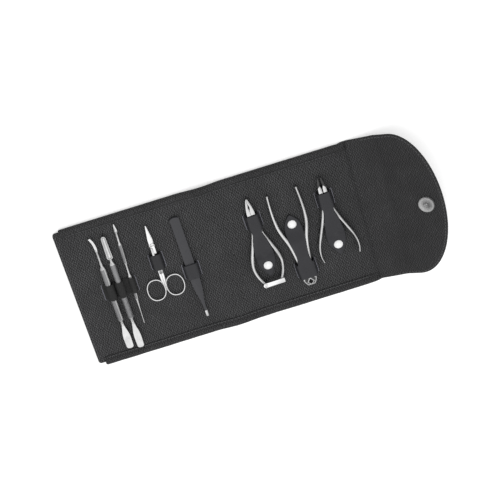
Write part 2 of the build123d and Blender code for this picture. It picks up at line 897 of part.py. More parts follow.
def nipper_half(nipper, hand):
    """One half: hand +1 has the lower lap and the handle at +x, hand -1 the upper lap and -x."""
    handle_low = (nipper_depth - handle_depth) / 2
    lap_depth = (nipper_depth - lap_gap) / 2
    outer, inner, tip = handle_edges(nipper, hand)
    other_half = half_plane(nipper, hand, 0 if hand < 0 else lap_depth)
    has_eye = nipper is clasped
    with BuildPart() as half:
        with BuildSketch(half_plane(nipper, hand, handle_low)):
            with BuildLine():
                for start, end, tangent in outer + inner:
                    TangentArc(start, end, tangent=tangent)
                ThreePointArc(outer[-1][1], tip, inner[-1][1])
                Line(inner[0][0], outer[0][0])
            make_face()
        extrude(amount=handle_depth)
        rims = half.edges().filter_by(GeomType.CIRCLE)
        chamfer(rims.filter_by(lambda edge: edge.radius > nipper.end_width), length=handle_chamfer)
        if has_eye and hand > 0:
            with BuildSketch(half_plane(nipper, hand, handle_low)):
                with Locations(nipper.handle[-1]):
                    Circle(clasp_eye_radius)
            extrude(amount=handle_depth)
        add(nipper_jaw(nipper, hand))
        with BuildSketch(half_plane(nipper, hand)):
            Circle(nipper.lap_radius)
        extrude(amount=nipper_depth)
        with BuildSketch(other_half):
            Circle(nipper.lap_radius + lap_clearance)
        extrude(amount=lap_depth + lap_gap, mode=Mode.SUBTRACT)
        with BuildSketch(half_plane(nipper, hand)):
            Circle(nipper.pin_radius + (0 if hand > 0 else pin_clearance))
            if has_eye and hand > 0:
                with Locations(nipper.handle[-1]):
                    Circle(clasp_pin_radius)
        extrude(amount=nipper_depth, mode=Mode.SUBTRACT)
    return half


def nipper_leaf(nipper, hand, half):
    """The leaf spring inside one handle, with the foot that holds it."""
    stations = nipper.handle[1:3]
    inset = nipper.root_width / 2 + leaf_standoff + leaf_thickness / 2
    near = leaf_spacing / 2 + leaf_thickness / 2
    line = [(near, nipper.lap_radius + leaf_start)] + [(x - inset, y) for x, y in stations]
    left = mirrored([(x - leaf_thickness / 2, y) for x, y in line], hand)
    right = mirrored([(x + leaf_thickness / 2, y) for x, y in line], hand)
    foot_x = hand * (line[-1][0] + (leaf_standoff + leaf_foot_seat) / 2)
    foot_y = line[-1][1] - leaf_foot_length / 2
    leaf_low = (nipper_depth - leaf_depth) / 2
    with BuildPart() as leaf:
        with BuildSketch(half_plane(nipper, hand, leaf_low)):
            with BuildLine():
                Spline(*left)
                Line(left[-1], right[-1])
                Spline(*right)
                Line(right[0], left[0])
            make_face()
        extrude(amount=leaf_depth)
        with BuildSketch(half_plane(nipper, hand, (nipper_depth - leaf_foot_depth) / 2)):
            with Locations((foot_x, foot_y)):
                Rectangle(leaf_standoff + leaf_foot_seat, leaf_foot_length)
        extrude(amount=leaf_foot_depth)
        add(half.part, mode=Mode.SUBTRACT)
    return leaf


for nipper in nippers:
    for hand, letter in ((1, "a"), (-1, "b")):
        half = nipper_half(nipper, hand)
        write(half, f"{nipper.name}_half_{letter}")
        write(nipper_leaf(nipper, hand, half), f"{nipper.name}_spring_{letter}")
    with BuildPart() as pin:
        with BuildSketch(nipper_plane(nipper)):
            Circle(nipper.pin_radius)
        extrude(amount=nipper_depth)
    write(pin, f"{nipper.name}_pin")

# ---------------------------------------------------------------- clasp of the first nipper
clasp_low = (nipper_depth + handle_depth) / 2 + clasp_lift
eye_x, eye_y = clasped.handle[-1]
nose_inner = -eye_x - clasped.end_width / 2 - clasp_nose_gap
nose_outer = nose_inner - clasp_nose

with BuildPart() as clasp:
    with BuildSketch(nipper_plane(clasped, height=clasp_low)):
        with Locations(((nose_outer + eye_x) / 2, eye_y)):
            Rectangle(eye_x - nose_outer, clasp_width)
        with Locations((eye_x, eye_y)):
            Circle(clasp_eye_radius)
            Circle(clasp_pin_radius + pin_clearance, mode=Mode.SUBTRACT)
    extrude(amount=clasp_thickness)
    fillet(clasp.edges().filter_by(Axis.Z).group_by(Axis.X)[0], radius=clasp_corner)
    with BuildSketch(nipper_plane(clasped, height=clasp_low)):
        with Locations(((nose_inner + nose_outer) / 2, eye_y + clasp_width / 4)):
            Rectangle(clasp_nose, clasp_width / 2)
    extrude(amount=-clasp_nose_depth)
write(clasp, f"{clasped.name}_clasp")

with BuildPart() as clasp_pin:
    pin_low = (nipper_depth - handle_depth) / 2
    with BuildSketch(nipper_plane(clasped, height=pin_low)):
        with Locations((eye_x, eye_y)):
            Circle(clasp_pin_radius)
    extrude(amount=clasp_low + clasp_thickness + pin_head_gap - pin_low)
    with BuildSketch(nipper_plane(clasped, height=clasp_low + clasp_thickness + pin_head_gap)):
        with Locations((eye_x, eye_y)):
            Circle(clasp_head_radius)
    extrude(amount=clasp_head)
write(clasp_pin, f"{clasped.name}_clasp_pin")

# ---------------------------------------------------------------- scissors
def scissors_plane(height=0.0):
    """The scissors' own plane: the screw at the origin, the blades to -y and the rings to +y."""
    return Plane(origin=(tool_fold + scissors_x, scissors_pivot_y, bed + height))


def scissors_half(hand):
    """One half: hand +1 has the lower blade and the ring at +x, hand -1 the upper blade and -x."""
    own = scissors_plane()
    edge = blade_width / 2
    blade = mirrored(
        [(edge - blade_overlap, 0), (-edge, 0), (-edge, -blade_shoulder), (-blade_point, -blade_length)],
        hand,
    )
    cut_edge = mirrored([(blade_point, -blade_length), (edge - blade_overlap, -blade_shoulder)], hand)
    shank_side = lap_gap / 2
    shank_end = ring_distance - shank_inset
    blade_low = 0 if hand > 0 else blade_thickness + lap_gap
    other_low = blade_thickness if hand > 0 else 0
    tilt = radians(hand * ring_tilt)
    end_centre = ring_half_length - ring_end_radius
    side_radius = (ring_half_width**2 + end_centre**2 - ring_end_radius**2) / (
        2 * (ring_half_width - ring_end_radius)
    )
    side_centre = side_radius - ring_half_width
    swing = degrees(atan2(end_centre, side_centre))
    ring_low = (scissors_depth - ring_wire) / 2
    ring_plane = Plane(
        origin=own.from_local_coords((hand * ring_offset, ring_distance, ring_low)),
        x_dir=(cos(tilt), sin(tilt), 0),
        z_dir=(0, 0, 1),
    )
    with BuildPart() as half:
        with BuildSketch(ring_plane):
            for shift, mode in ((ring_wire / 2, Mode.ADD), (-ring_wire / 2, Mode.SUBTRACT)):
                side, end = side_radius + shift, ring_end_radius + shift
                with BuildLine():
                    CenterArc((-side_centre, 0), side, -swing, 2 * swing)
                    CenterArc((0, end_centre), end, swing, 180 - 2 * swing)
                    CenterArc((side_centre, 0), side, 180 - swing, 2 * swing)
                    CenterArc((0, -end_centre), end, 180 + swing, 180 - 2 * swing)
                make_face(mode=mode)
        extrude(amount=ring_wire)
        chamfer(half.edges().filter_by(GeomType.CIRCLE), length=ring_chamfer)
        with BuildSketch(own):
            with BuildLine():
                Polyline(
                    *mirrored(
                        [
                            (shank_side, 0),
                            (shank_side, shank_end),
                            (shank_side + ring_wire, shank_end),
                            (shank_side + shank_width, shank_end - shank_flare),
                            (shank_side + shank_width, 0),
                        ],
                        hand,
                    ),
                    close=True,
                )
            make_face()
        extrude(amount=scissors_depth)
        with BuildSketch(own):
            Circle(scissors_lap_radius)
        extrude(amount=scissors_depth)
        with BuildSketch(scissors_plane(other_low)):
            Circle(scissors_lap_radius + lap_clearance)
        extrude(amount=blade_thickness + lap_gap, mode=Mode.SUBTRACT)
        with BuildSketch(scissors_plane(blade_low)):
            with BuildLine():
                Polyline(*blade, *cut_edge, close=True)
            make_face()
        extrude(amount=blade_thickness)
        with BuildSketch(own):
            Circle(screw_radius + (0 if hand > 0 else pin_clearance))
        extrude(amount=scissors_depth, mode=Mode.SUBTRACT)
    return half


write(scissors_half(1), "scissors_half_a")
write(scissors_half(-1), "scissors_half_b")

with BuildPart() as scissors_screw:
    with BuildSketch(scissors_plane()):
        Circle(screw_radius)
    extrude(amount=scissors_depth + pin_head_gap)
    with BuildSketch(scissors_plane(scissors_depth + pin_head_gap)):
        Circle(screw_head)
    extrude(amount=screw_head_height)
    with BuildSketch(scissors_plane(scissors_depth + pin_head_gap + screw_head_height)):
        Rectangle(2 * screw_head, screw_slot)
    extrude(amount=-screw_slot_depth, mode=Mode.SUBTRACT)
write(scissors_screw, "scissors_screw")


# ---------------------------------------------------------------- tweezers
def tweezers_plane(height=0.0, tilt=0.0):
    """The tweezers' own plane: the joined end at the origin and the tips at +y."""
    base = Plane(
        origin=(tool_fold + tweezers_x + tweezers_end_shift, tweezers_end_y, bed + height),
        x_dir=(cos(radians(tweezers_lean)), sin(radians(tweezers_lean)), 0),
        z_dir=(0, 0, 1),
    )
    return base.rotated((tilt, 0, 0))


def tweezer_arm(height, tilt):
    """One arm: a rounded end, straight sides, then a long curved taper to a narrow square tip."""
    half = tweezer_width / 2
    tip = tweezer_tip_width / 2
    taper = [(half, tweezer_shoulder), (tip, tweezer_length - tweezer_tip_length)]
    corners = [(tip, tweezer_length), (-tip, tweezer_length)]
    straight = ((0, 1), (0, 1))
    with BuildPart() as arm:
        with BuildSketch(tweezers_plane(height, tilt)):
            with BuildLine():
                ThreePointArc((-half, tweezer_end_round), (0, 0), (half, tweezer_end_round))
                Polyline(taper[1], *corners, (-tip, taper[1][1]))
                for hand in (1, -1):
                    Line((hand * half, tweezer_end_round), (hand * half, tweezer_shoulder))
                    for start, end, tangent in arc_spans(mirrored(taper, hand), straight):
                        TangentArc(start, end, tangent=tangent)
            make_face()
        extrude(amount=tweezer_sheet)
    return arm


tweezer_tilt = degrees(atan2(tweezer_tip_gap, tweezer_length))
write(tweezer_arm(0.0, 0.0), "tweezers_lower_arm")
write(tweezer_arm(tweezer_sheet + lap_gap, tweezer_tilt), "tweezers_upper_arm")


# ---------------------------------------------------------------- probe, pusher and scraper
def tool_plane(tool, height=0.0):
    """A tool's own plane through its axis, with +y along the tool."""
    lean = radians(tool.lean)
    return Plane(
        origin=(tool.x, 0, bed + tool.grip_radius + height),
        x_dir=(cos(lean), sin(lean), 0),
        z_dir=(0, 0, 1),
    )


def turned(tool, stations):
    """The turned part of a tool, from (radius, distance) stations along its axis."""
    own = tool_plane(tool)
    with BuildPart() as body:
        with BuildSketch(own):
            with BuildLine():
                Polyline((0, stations[0][1]), *stations, (0, stations[-1][1]), close=True)
            make_face()
        revolve(axis=Axis(own.origin, own.y_dir))
    return body.part


def blade_end(tool, outline, side_view, reach):
    """A flat end of a tool: its plan outline and its side view, cut to what both share."""
    own = tool_plane(tool)
    side = Plane(origin=own.origin, x_dir=own.y_dir, z_dir=own.x_dir)
    with BuildPart() as end:
        with BuildSketch(own):
            add(outline)
        extrude(amount=reach, both=True)
        with BuildSketch(side):
            with BuildLine():
                Polyline(*side_view, close=True)
            make_face()
        extrude(amount=reach, both=True, mode=Mode.INTERSECT)
    return end.part


def spatula(tool, start, end, width):
    """A spatula: narrow at its neck, wide and thin at its rounded end."""
    length = end - start
    neck = spatula_neck / 2 - end_step
    side = [(neck, start), (width / 2, end - spatula_straight)]
    corner = (width / 2 - spatula_draft, end - spatula_round)
    with BuildSketch() as outline:
        with BuildLine():
            Line((-neck, start), (neck, start))
            for hand in (1, -1):
                for arc_start, arc_end, tangent in arc_spans(mirrored(side, hand), ((0, 1), (0, 1))):
                    TangentArc(arc_start, arc_end, tangent=tangent)
                Line(mirrored(side, hand)[1], (hand * corner[0], corner[1]))
            ThreePointArc(corner, (0, end), (-corner[0], corner[1]))
        make_face()
    side_view = [
        (start, -neck),
        (end, spatula_lift - spatula_edge / 2),
        (end, spatula_lift + spatula_edge / 2),
        (start, neck),
    ]
    return blade_end(tool, outline.sketch, side_view, length)


def grip_top(tool, top):
    """The stations at the top of a grip: its last full section and the neck that a spatula stands on."""
    neck = spatula_neck / 2
    cone_end = top + grip_cone
    return [(tool.grip_radius, top), (neck, cone_end), (neck, cone_end + neck_seat)]


with BuildPart() as cuticle_pusher:
    low, high = pusher_grip
    stations = [
        (spoon_neck, spoon_start - spoon_hollow),
        (spoon_neck, low - grip_cone),
        (pusher.grip_radius, low),
        *grip_top(pusher, high),
    ]
    add(turned(pusher, stations))
    add(spatula(pusher, high + grip_cone, pusher_spatula_end, pusher_spatula_width))
    with BuildSketch(tool_plane(pusher, -spoon_depth / 2)):
        with Locations((0, (spoon_start + spoon_end) / 2)):
            SlotOverall(spoon_start - spoon_end, spoon_width, rotation=90)
    extrude(amount=spoon_depth)
    with BuildSketch(tool_plane(pusher, spoon_depth / 2)):
        with Locations((0, (spoon_start + spoon_end) / 2)):
            SlotOverall(
                spoon_start - spoon_end - 2 * spoon_rim, spoon_width - 2 * spoon_rim, rotation=90
            )
    extrude(amount=-spoon_hollow, taper=spoon_taper, mode=Mode.SUBTRACT)
write(cuticle_pusher, "cuticle_pusher")

with BuildPart() as cuticle_scraper:
    low, high = scraper_grip
    neck_end = low - grip_cone - scraper_neck_length
    stations = [
        (scraper_shank, scraper_shank_end),
        (scraper_shank, neck_end - scraper_neck + scraper_shank),
        (scraper_neck, neck_end),
        (scraper_neck, low - grip_cone),
        (scraper.grip_radius, low),
        *grip_top(scraper, high),
    ]
    add(turned(scraper, stations))
    add(spatula(scraper, high + grip_cone, scraper_spatula_end, scraper_spatula_width))
    with BuildSketch(tool_plane(scraper, -hook_depth / 2)):
        with BuildLine():
            root = scraper_shank - end_step
            Spline((-root, hook_root), *hook_back)
            Line(hook_back[-1], hook_front[0])
            Spline(*hook_front, (root, hook_root))
            Line((root, hook_root), (-root, hook_root))
        make_face()
    extrude(amount=hook_depth)
write(cuticle_scraper, "cuticle_scraper")

with BuildPart() as nail_probe:
    stations = [
        (probe_shank, probe_shank_end),
        (probe_shank, probe_lower_grip[0] - probe_step),
        (probe.grip_radius, probe_lower_grip[0]),
        (probe.grip_radius, probe_lower_grip[1]),
        (probe_shank, probe_lower_grip[1] + probe_step),
        (probe_shank, probe_upper_grip[0] - probe_step),
        (probe.grip_radius, probe_upper_grip[0]),
        (probe.grip_radius, probe_upper_grip[1]),
        (probe_cone, probe_upper_grip[1] + probe_step),
        (probe_fine, probe_taper_end),
        (probe_fine, probe_needle_end),
    ]
    add(turned(probe, stations))
    with BuildSketch(tool_plane(probe, -hook_depth / 2)):
        with BuildLine():
            root = probe_shank - end_step
            Polyline((root, pick_root), (-root, pick_root), *pick, close=True)
        make_face()
    extrude(amount=hook_depth)
write(nail_probe, "nail_probe")
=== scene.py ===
import math

import bmesh
import bpy
from mathutils import Matrix, Vector, noise


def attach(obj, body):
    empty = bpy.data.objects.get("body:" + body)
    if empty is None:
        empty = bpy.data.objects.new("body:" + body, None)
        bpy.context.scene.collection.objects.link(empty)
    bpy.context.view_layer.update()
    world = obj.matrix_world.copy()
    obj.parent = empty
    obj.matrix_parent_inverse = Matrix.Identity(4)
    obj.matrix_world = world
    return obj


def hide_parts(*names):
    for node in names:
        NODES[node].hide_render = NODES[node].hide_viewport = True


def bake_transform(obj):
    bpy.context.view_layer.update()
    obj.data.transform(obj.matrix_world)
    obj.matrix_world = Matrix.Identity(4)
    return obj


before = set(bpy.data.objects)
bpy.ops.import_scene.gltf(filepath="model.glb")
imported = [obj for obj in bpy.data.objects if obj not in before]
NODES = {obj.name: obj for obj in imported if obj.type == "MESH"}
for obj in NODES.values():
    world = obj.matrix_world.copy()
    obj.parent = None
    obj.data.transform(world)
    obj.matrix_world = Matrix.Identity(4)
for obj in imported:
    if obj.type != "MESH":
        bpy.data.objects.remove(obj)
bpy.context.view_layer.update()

MM = 0.001

# ---------------------------------------------------------------- sizes, in millimetres
# Folds and edges along the case, at the flat case's own X
MIDDLE_FOLD = 32.483
TOOL_FOLD = 56.483
TOOL_EDGE = 188.783
FLAP_SPINE_FOLD = -112.417
FLAP_SPINE = 27.0
FLAP_FOLD = FLAP_SPINE_FOLD - FLAP_SPINE
FLAP_STRAIGHT = 14.5
FLAP_ROUNDING = 42.0
FLAP_HALF = 80.2
HINGE = 0.6
RISE = 14.0
PANEL = 3.7
FLAP_THICK = 2.2
PANEL_HALF = 77.2
BEND = 7.0
ARCH_MIDDLE = 38.5
ARCH_HALF = 25.0
ARCH_RISE = 2.0
RIM_TAPER = 16.0
SNAP_X = 163.283
SNAP_RECESS = 10.0
BOARD_TOP = 2.7
FLOOR = -0.4
SPINE_MID = (MIDDLE_FOLD + TOOL_FOLD) / 2
FLAP_SPINE_MID = FLAP_SPINE_FOLD - FLAP_SPINE / 2
MIDDLE_MID = -40.0
FLAP_TIP = FLAP_FOLD - FLAP_STRAIGHT - FLAP_ROUNDING
FINE, COARSE = 1.2, 4.0  # strips of leather over a fold and beside it
# Where the tools lie
NIPPERS_X = -39.967
TWEEZERS_X, TWEEZERS_LOOP_Y = TOOL_FOLD + 12.8, 4.4
SCISSORS_X, SCISSORS_LOOP_Y, SCISSORS_PIVOT_Y = TOOL_FOLD + 42.8, -16.9, -36.3
TOOLS = {
    "nail_probe": (TOOL_FOLD + 73.2, 1.9),
    "cuticle_pusher": (TOOL_FOLD + 85.7, 3.1),
    "cuticle_scraper": (TOOL_FOLD + 95.6, 3.1),
}
ELASTIC_MIDDLE = TOOL_FOLD + 86.2
ELASTIC_HALF = 16.7
GAP = 0.3  # play between a tool and the leather under and over it
BAND_THICK = 1.2
LOOP_THICK = 1.0
MAGNET_RADIUS = 9.0


# ---------------------------------------------------------------- helpers
def in_scene(name, data):
    """A new object, linked into the scene."""
    obj = bpy.data.objects.new(name, data)
    bpy.context.scene.collection.objects.link(obj)
    return obj


def obj_from(bm, name, material, smooth=35.0):
    """A mesh object from a bmesh in millimetres, with smooth shading up to an angle."""
    bmesh.ops.scale(bm, vec=(MM, MM, MM), verts=bm.verts)
    bmesh.ops.recalc_face_normals(bm, faces=bm.faces)
    mesh = bpy.data.meshes.new(name)
    bm.to_mesh(mesh)
    bm.free()
    mesh.materials.append(material)
    mesh.shade_smooth()
    mesh.set_sharp_from_angle(angle=math.radians(smooth))
    return in_scene(name, mesh)


def applied(obj):
    """The object with its modifiers applied."""
    depsgraph = bpy.context.evaluated_depsgraph_get()
    mesh = bpy.data.meshes.new_from_object(obj.evaluated_get(depsgraph))
    obj.modifiers.clear()
    obj.data = mesh
    return obj


def cut(bm, place, normal):
    """Cut every face of a bmesh along a plane."""
    bmesh.ops.bisect_plane(
        bm, geom=bm.verts[:] + bm.edges[:] + bm.faces[:], plane_co=place, plane_no=normal
    )


def eased(bm, edges, offset, clamp=True):
    """Round edges off by a small bevel."""
    bmesh.ops.bevel(
        bm, geom=edges, offset=offset, segments=2, profile=0.5, affect="EDGES", material=-1,
        clamp_overlap=clamp,
    )


def in_order(bm):
    """Sort a bmesh by place, so that it comes out in the same order each time."""
    across = Vector((1.0, 0.371, 0.1193))
    bm.verts.sort(key=lambda v: v.co.dot(across))
    bm.edges.sort(key=lambda e: (e.verts[0].co + e.verts[1].co).dot(across))
    bm.faces.sort(key=lambda f: f.calc_center_median().dot(across))


def tube(bm, rings):
    """Faces between closed rings of vertices, and over both ends."""
    for low, high in zip(rings, rings[1:]):
        for i in range(len(low)):
            j = (i + 1) % len(low)
            bm.faces.new((low[i], low[j], high[j], high[i]))
    bm.faces.new(rings[0][::-1])
    bm.faces.new(rings[-1])


def run_lengths(points):
    """The way along a line of points, from 0 at the first one."""
    lengths = [0.0]
    for a, b in zip(points, points[1:]):
        lengths.append(lengths[-1] + math.dist(a, b))
    return lengths


def turn(x, z, fold, angle):
    """A side-view point turned about a fold at hinge height. A positive angle lifts the -X side."""
    c, s = math.cos(angle), math.sin(angle)
    dx, dz = x - fold, z - HINGE
    return fold + dx * c + dz * s, HINGE - dx * s + dz * c


def ease(t):
    """Smooth step from 0 to 1."""
    t = min(1.0, max(0.0, t))
    return t * t * (3 - 2 * t)


def to_rest(x, z):
    """A point of the flat case, brought to its place in the open case at rest."""
    off = abs(x - ARCH_MIDDLE) / ARCH_HALF
    if off < 1:
        z += ARCH_RISE * (1 + math.cos(math.pi * off)) / 2
    rise = math.radians(RISE)
    x, z = turn(x, z, FLAP_FOLD, rise * ease((FLAP_FOLD + BEND - x) / (2 * BEND)))
    near = FLAP_SPINE_FOLD + BEND - x
    return turn(x, z, FLAP_SPINE_FOLD, rise * ease(near / (2 * BEND)))


def soft(x, y, scale, seed):
    """Smooth noise between about -1 and 1."""
    return noise.noise(Vector((x / scale, y / scale, seed)))


def lay(x, y):
    """How far the lining stands from flat, in millimetres."""
    return 0.16 * soft(x, y, 34.0, 2.0) + 0.07 * soft(x, y, 13.0, 5.0)


# ---------------------------------------------------------------- materials
def new_material(name):
    material = bpy.data.materials.new(name)
    material.use_nodes = True
    tree = material.node_tree
    shader = next(n for n in tree.nodes if n.type == "BSDF_PRINCIPLED")
    return material, tree, shader


def link(tree, source, target):
    tree.links.new(source, target)


def fill(tree, socket, value):
    """Set a socket from a number or a colour, or link it from another socket."""
    if isinstance(value, (int, float)):
        socket.default_value = value
    elif isinstance(value, tuple):
        socket.default_value = value if len(socket.default_value) == len(value) else (*value, 1.0)
    else:
        link(tree, value, socket)


def ramp(tree, factor, stops):
    """A colour ramp from (position, grey or colour) stops."""
    made = tree.nodes.new("ShaderNodeValToRGB")
    elements = made.color_ramp.elements
    while len(elements) < len(stops):
        elements.new(0.5)
    for element, (position, colour) in zip(elements, stops):
        element.position = position
        element.color = (*(colour if isinstance(colour, tuple) else (colour,) * 3), 1.0)
    link(tree, factor, made.inputs[0])
    return made.outputs[0]


def grey(value, tint=(1.0, 1.0, 1.0)):
    """A linear colour from an sRGB grey of 0 to 255 and a tint."""
    v = value / 255.0
    linear = v / 12.92 if v <= 0.04045 else ((v + 0.055) / 1.055) ** 2.4
    return tuple(linear * t for t in tint)


def operated(tree, kind, operation, values):
    made = tree.nodes.new(kind)
    made.operation = operation
    for socket, value in zip(made.inputs, values):
        if value is not None:
            fill(tree, socket, value)
    return made.outputs


def maths(tree, operation, *values):
    return operated(tree, "ShaderNodeMath", operation, values)[0]


def vector_maths(tree, operation, *values):
    return operated(tree, "ShaderNodeVectorMath", operation, values)


def mixed(tree, kind, factor, a, b):
    made = tree.nodes.new("ShaderNodeMix")
    made.data_type = "RGBA"
    made.blend_type = kind
    for socket, value in ((made.inputs[0], factor), (made.inputs[6], a), (made.inputs[7], b)):
        fill(tree, socket, value)
    return made.outputs[2]


def noise_of(tree, coords, scale, detail=3.0, distortion=0.0):
    made = tree.nodes.new("ShaderNodeTexNoise")
    fill(tree, made.inputs["Scale"], scale)
    made.inputs["Detail"].default_value = detail
    made.inputs["Distortion"].default_value = distortion
    link(tree, coords, made.inputs["Vector"])
    return made.outputs["Fac"]


def placed(tree, coords, scale):
    made = tree.nodes.new("ShaderNodeMapping")
    made.inputs["Scale"].default_value = scale
    link(tree, coords, made.inputs["Vector"])
    return made.outputs[0]


def effect(name, inputs, outputs):
    """A node group with named sockets. Gives the group, its inputs and its outputs."""
    group = bpy.data.node_groups.new(name, "ShaderNodeTree")
    for side, sockets in (("INPUT", inputs), ("OUTPUT", outputs)):
        for label, kind in sockets.items():
            group.interface.new_socket(label, in_out=side, socket_type=f"NodeSocket{kind}")
    given = group.nodes.new("NodeGroupInput").outputs
    return group, given, group.nodes.new("NodeGroupOutput").inputs


def use(tree, group, **values):
    """An effect placed in a material, with its own values."""
    made = tree.nodes.new("ShaderNodeGroup")
    made.node_tree = group
    for label, value in values.items():
        fill(tree, made.inputs[label], value)
    return made.outputs


def bumped(tree, shader, height, strength, distance):
    bump = tree.nodes.new("ShaderNodeBump")
    bump.inputs["Strength"].default_value = strength
    bump.inputs["Distance"].default_value = distance * MM
    link(tree, height, bump.inputs["Height"])
    link(tree, bump.outputs[0], shader.inputs["Normal"])


def finished(tree, shader, made, strength, distance):
    """Link an effect's outputs to a material's shader."""
    link(tree, made["Color"], shader.inputs["Base Color"])
    if "Roughness" in made:
        link(tree, made["Roughness"], shader.inputs["Roughness"])
    bumped(tree, shader, made["Height"], strength, distance)


def settle(shader, **values):
    """Set plain values of a shader. An underscore in a name stands for a space."""
    for label, value in values.items():
        shader.inputs[label.replace("_", " ")].default_value = value


def coordinates(tree, kind):
    return tree.nodes.new("ShaderNodeTexCoord").outputs[kind]


def parts_of(tree, vector):
    """A vector's X, Y and Z."""
    made = tree.nodes.new("ShaderNodeSeparateXYZ")
    link(tree, vector, made.inputs[0])
    return made.outputs


def cosine_of(tree, value, factor):
    return maths(tree, "COSINE", maths(tree, "MULTIPLY", value, factor))


def tinted(tree, colour, *shades):
    """A colour multiplied by each of the shades in turn."""
    for shade in shades:
        colour = mixed(tree, "MULTIPLY", 1.0, colour, shade)
    return colour


TONES = {"Vector": "Vector", "Dark": "Color", "Light": "Color"}
RELIEF = {"Color": "Color", "Roughness": "Float", "Height": "Float"}

# Pebbled grain: staggered rows of round pebbles, painted light on their tops and painted shade in
# the valleys, with pores and rubbed places
PEBBLES, given, out = effect(
    "pebble_grain", {**TONES, "Scale": "Float", "Roughness": "Float"}, RELIEF
)
DRIFT_SCALE = 0.55  # of the pebbles' own scale
PORE_SCALE = 3.8
ROW_STEP = 1.6  # a pebble's length along its row, in widths
drift = PEBBLES.nodes.new("ShaderNodeTexNoise")
drift.noise_dimensions = "2D"
drift.inputs["Detail"].default_value = 1.0
link(PEBBLES, given["Vector"], drift.inputs["Vector"])
link(PEBBLES, maths(PEBBLES, "MULTIPLY", given["Scale"], DRIFT_SCALE), drift.inputs["Scale"])
cell = vector_maths(PEBBLES, "SCALE", given["Vector"], None, None, given["Scale"])[0]
drifted = vector_maths(PEBBLES, "MULTIPLY_ADD", drift.outputs["Color"], (1.0, 1.0, 0.0), cell)
split = parts_of(PEBBLES, drifted[0])
across = cosine_of(PEBBLES, split[0], 2 * math.pi)
along = cosine_of(PEBBLES, split[1], 2 * math.pi / ROW_STEP)
dome = maths(PEBBLES, "MULTIPLY_ADD", maths(PEBBLES, "MULTIPLY", across, along), 0.5, 0.5)
pore_scale = maths(PEBBLES, "MULTIPLY", given["Scale"], PORE_SCALE)
pores = noise_of(PEBBLES, given["Vector"], pore_scale, 4.0)
slow = noise_of(PEBBLES, given["Vector"], 18.0)
rubbed = noise_of(PEBBLES, given["Vector"], 70.0, 5.0, 0.6)
# painted light and shade: each pebble's top painted light and its valleys painted dark
pebble_light_and_shade = ramp(PEBBLES, dome, [(0.28, 0.0), (0.6, 0.5), (0.92, 1.0)])
tone = ramp(PEBBLES, slow, [(0.3, 0.84), (0.7, 1.14)])
worn = ramp(PEBBLES, rubbed, [(0.35, 0.92), (0.62, 1.0), (0.78, 1.16)])
colour = mixed(PEBBLES, "MIX", pebble_light_and_shade, given["Dark"], given["Light"])
link(PEBBLES, tinted(PEBBLES, colour, tone, worn), out["Color"])
for end, base in (
    ("Roughness", maths(PEBBLES, "MULTIPLY_ADD", rubbed, -0.14, given["Roughness"])),
    ("Height", maths(PEBBLES, "MULTIPLY", dome, 0.6)),
):
    link(PEBBLES, maths(PEBBLES, "MULTIPLY_ADD", pores, 0.2, base), out[end])

# Brushed metal: fine lines along Y, cloudy gloss and small scuffs
BRUSHED, given, out = effect(
    "brushed_metal", {**TONES, "Roughness": "Float", "Wear": "Float"}, RELIEF
)
BRUSH_LINES = (2600.0, 90.0, 2600.0)  # per metre, close across Y and long along it
lines = noise_of(BRUSHED, placed(BRUSHED, given["Vector"], BRUSH_LINES), 1.0)
cloud = noise_of(BRUSHED, given["Vector"], 120.0, 4.0)
scuff = noise_of(BRUSHED, placed(BRUSHED, given["Vector"], (1.0, 0.25, 1.0)), 700.0, 2.0, 1.5)
marks = ramp(BRUSHED, scuff, [(0.62, 0.0), (0.7, 1.0)])
link(BRUSHED, mixed(BRUSHED, "MIX", cloud, given["Dark"], given["Light"]), out["Color"])
scuffed = maths(BRUSHED, "MULTIPLY", cloud, marks)
rough = maths(BRUSHED, "MULTIPLY_ADD", scuffed, given["Wear"], given["Roughness"])
link(BRUSHED, maths(BRUSHED, "MULTIPLY_ADD", cloud, 0.1, rough), out["Roughness"])
link(BRUSHED, lines, out["Height"])

# Knurling: two crossing sets of fine grooves, with painted shade in them
KNURLING, given, out = effect("knurling", TONES, {"Color": "Color", "Height": "Float"})
GROOVES = 5200.0  # radians per metre
split = parts_of(KNURLING, given["Vector"])
waves = []
for sign in ("ADD", "SUBTRACT"):
    across = maths(KNURLING, sign, split[0], split[1])
    across = maths(KNURLING, "MULTIPLY", across, GROOVES)
    waves.append(maths(KNURLING, "MULTIPLY_ADD", maths(KNURLING, "SINE", across), 0.5, 0.5))
points = maths(KNURLING, "MULTIPLY", *waves)
# painted shade: the grooves darker than the points between them
groove_shade = maths(KNURLING, "POWER", points, 0.5)
link(KNURLING, mixed(KNURLING, "MIX", groove_shade, given["Dark"], given["Light"]), out["Color"])
link(KNURLING, points, out["Height"])


# Tints, and where along the case the leather's grain grows calmer, in metres
WHITE = (1.0, 1.0, 1.0)
COOL = (1.0, 1.0, 1.04)
SMOOTH = (1.0, 1.0, 1.16)
CALM_FROM, CALM_WIDTH = -0.136, 0.07


def leather(name, low, high, pitch, depth, rough, tint=COOL, specular=0.22, calmer=None):
    """Pebbled leather between two greys: the dark one is painted shade in the valleys, the light
    one painted light on the pebbles' tops. Its light grey may fall towards the flap, to calmer.
    """
    material, tree, shader = new_material(name)
    coords = coordinates(tree, "UV")
    light = grey(high, tint)
    if calmer:
        place = parts_of(tree, coords)[0]
        share = maths(tree, "MULTIPLY_ADD", place, 1 / CALM_WIDTH, -CALM_FROM / CALM_WIDTH)
        light = ramp(tree, share, [(0.0, grey(calmer, tint)), (1.0, light)])
    made = use(
        tree, PEBBLES, Vector=coords, Scale=1 / (pitch * MM), Dark=grey(low, tint), Light=light,
        Roughness=rough,
    )
    finished(tree, shader, made, 0.9, depth)
    settle(shader, Specular_IOR_Level=specular)
    return material


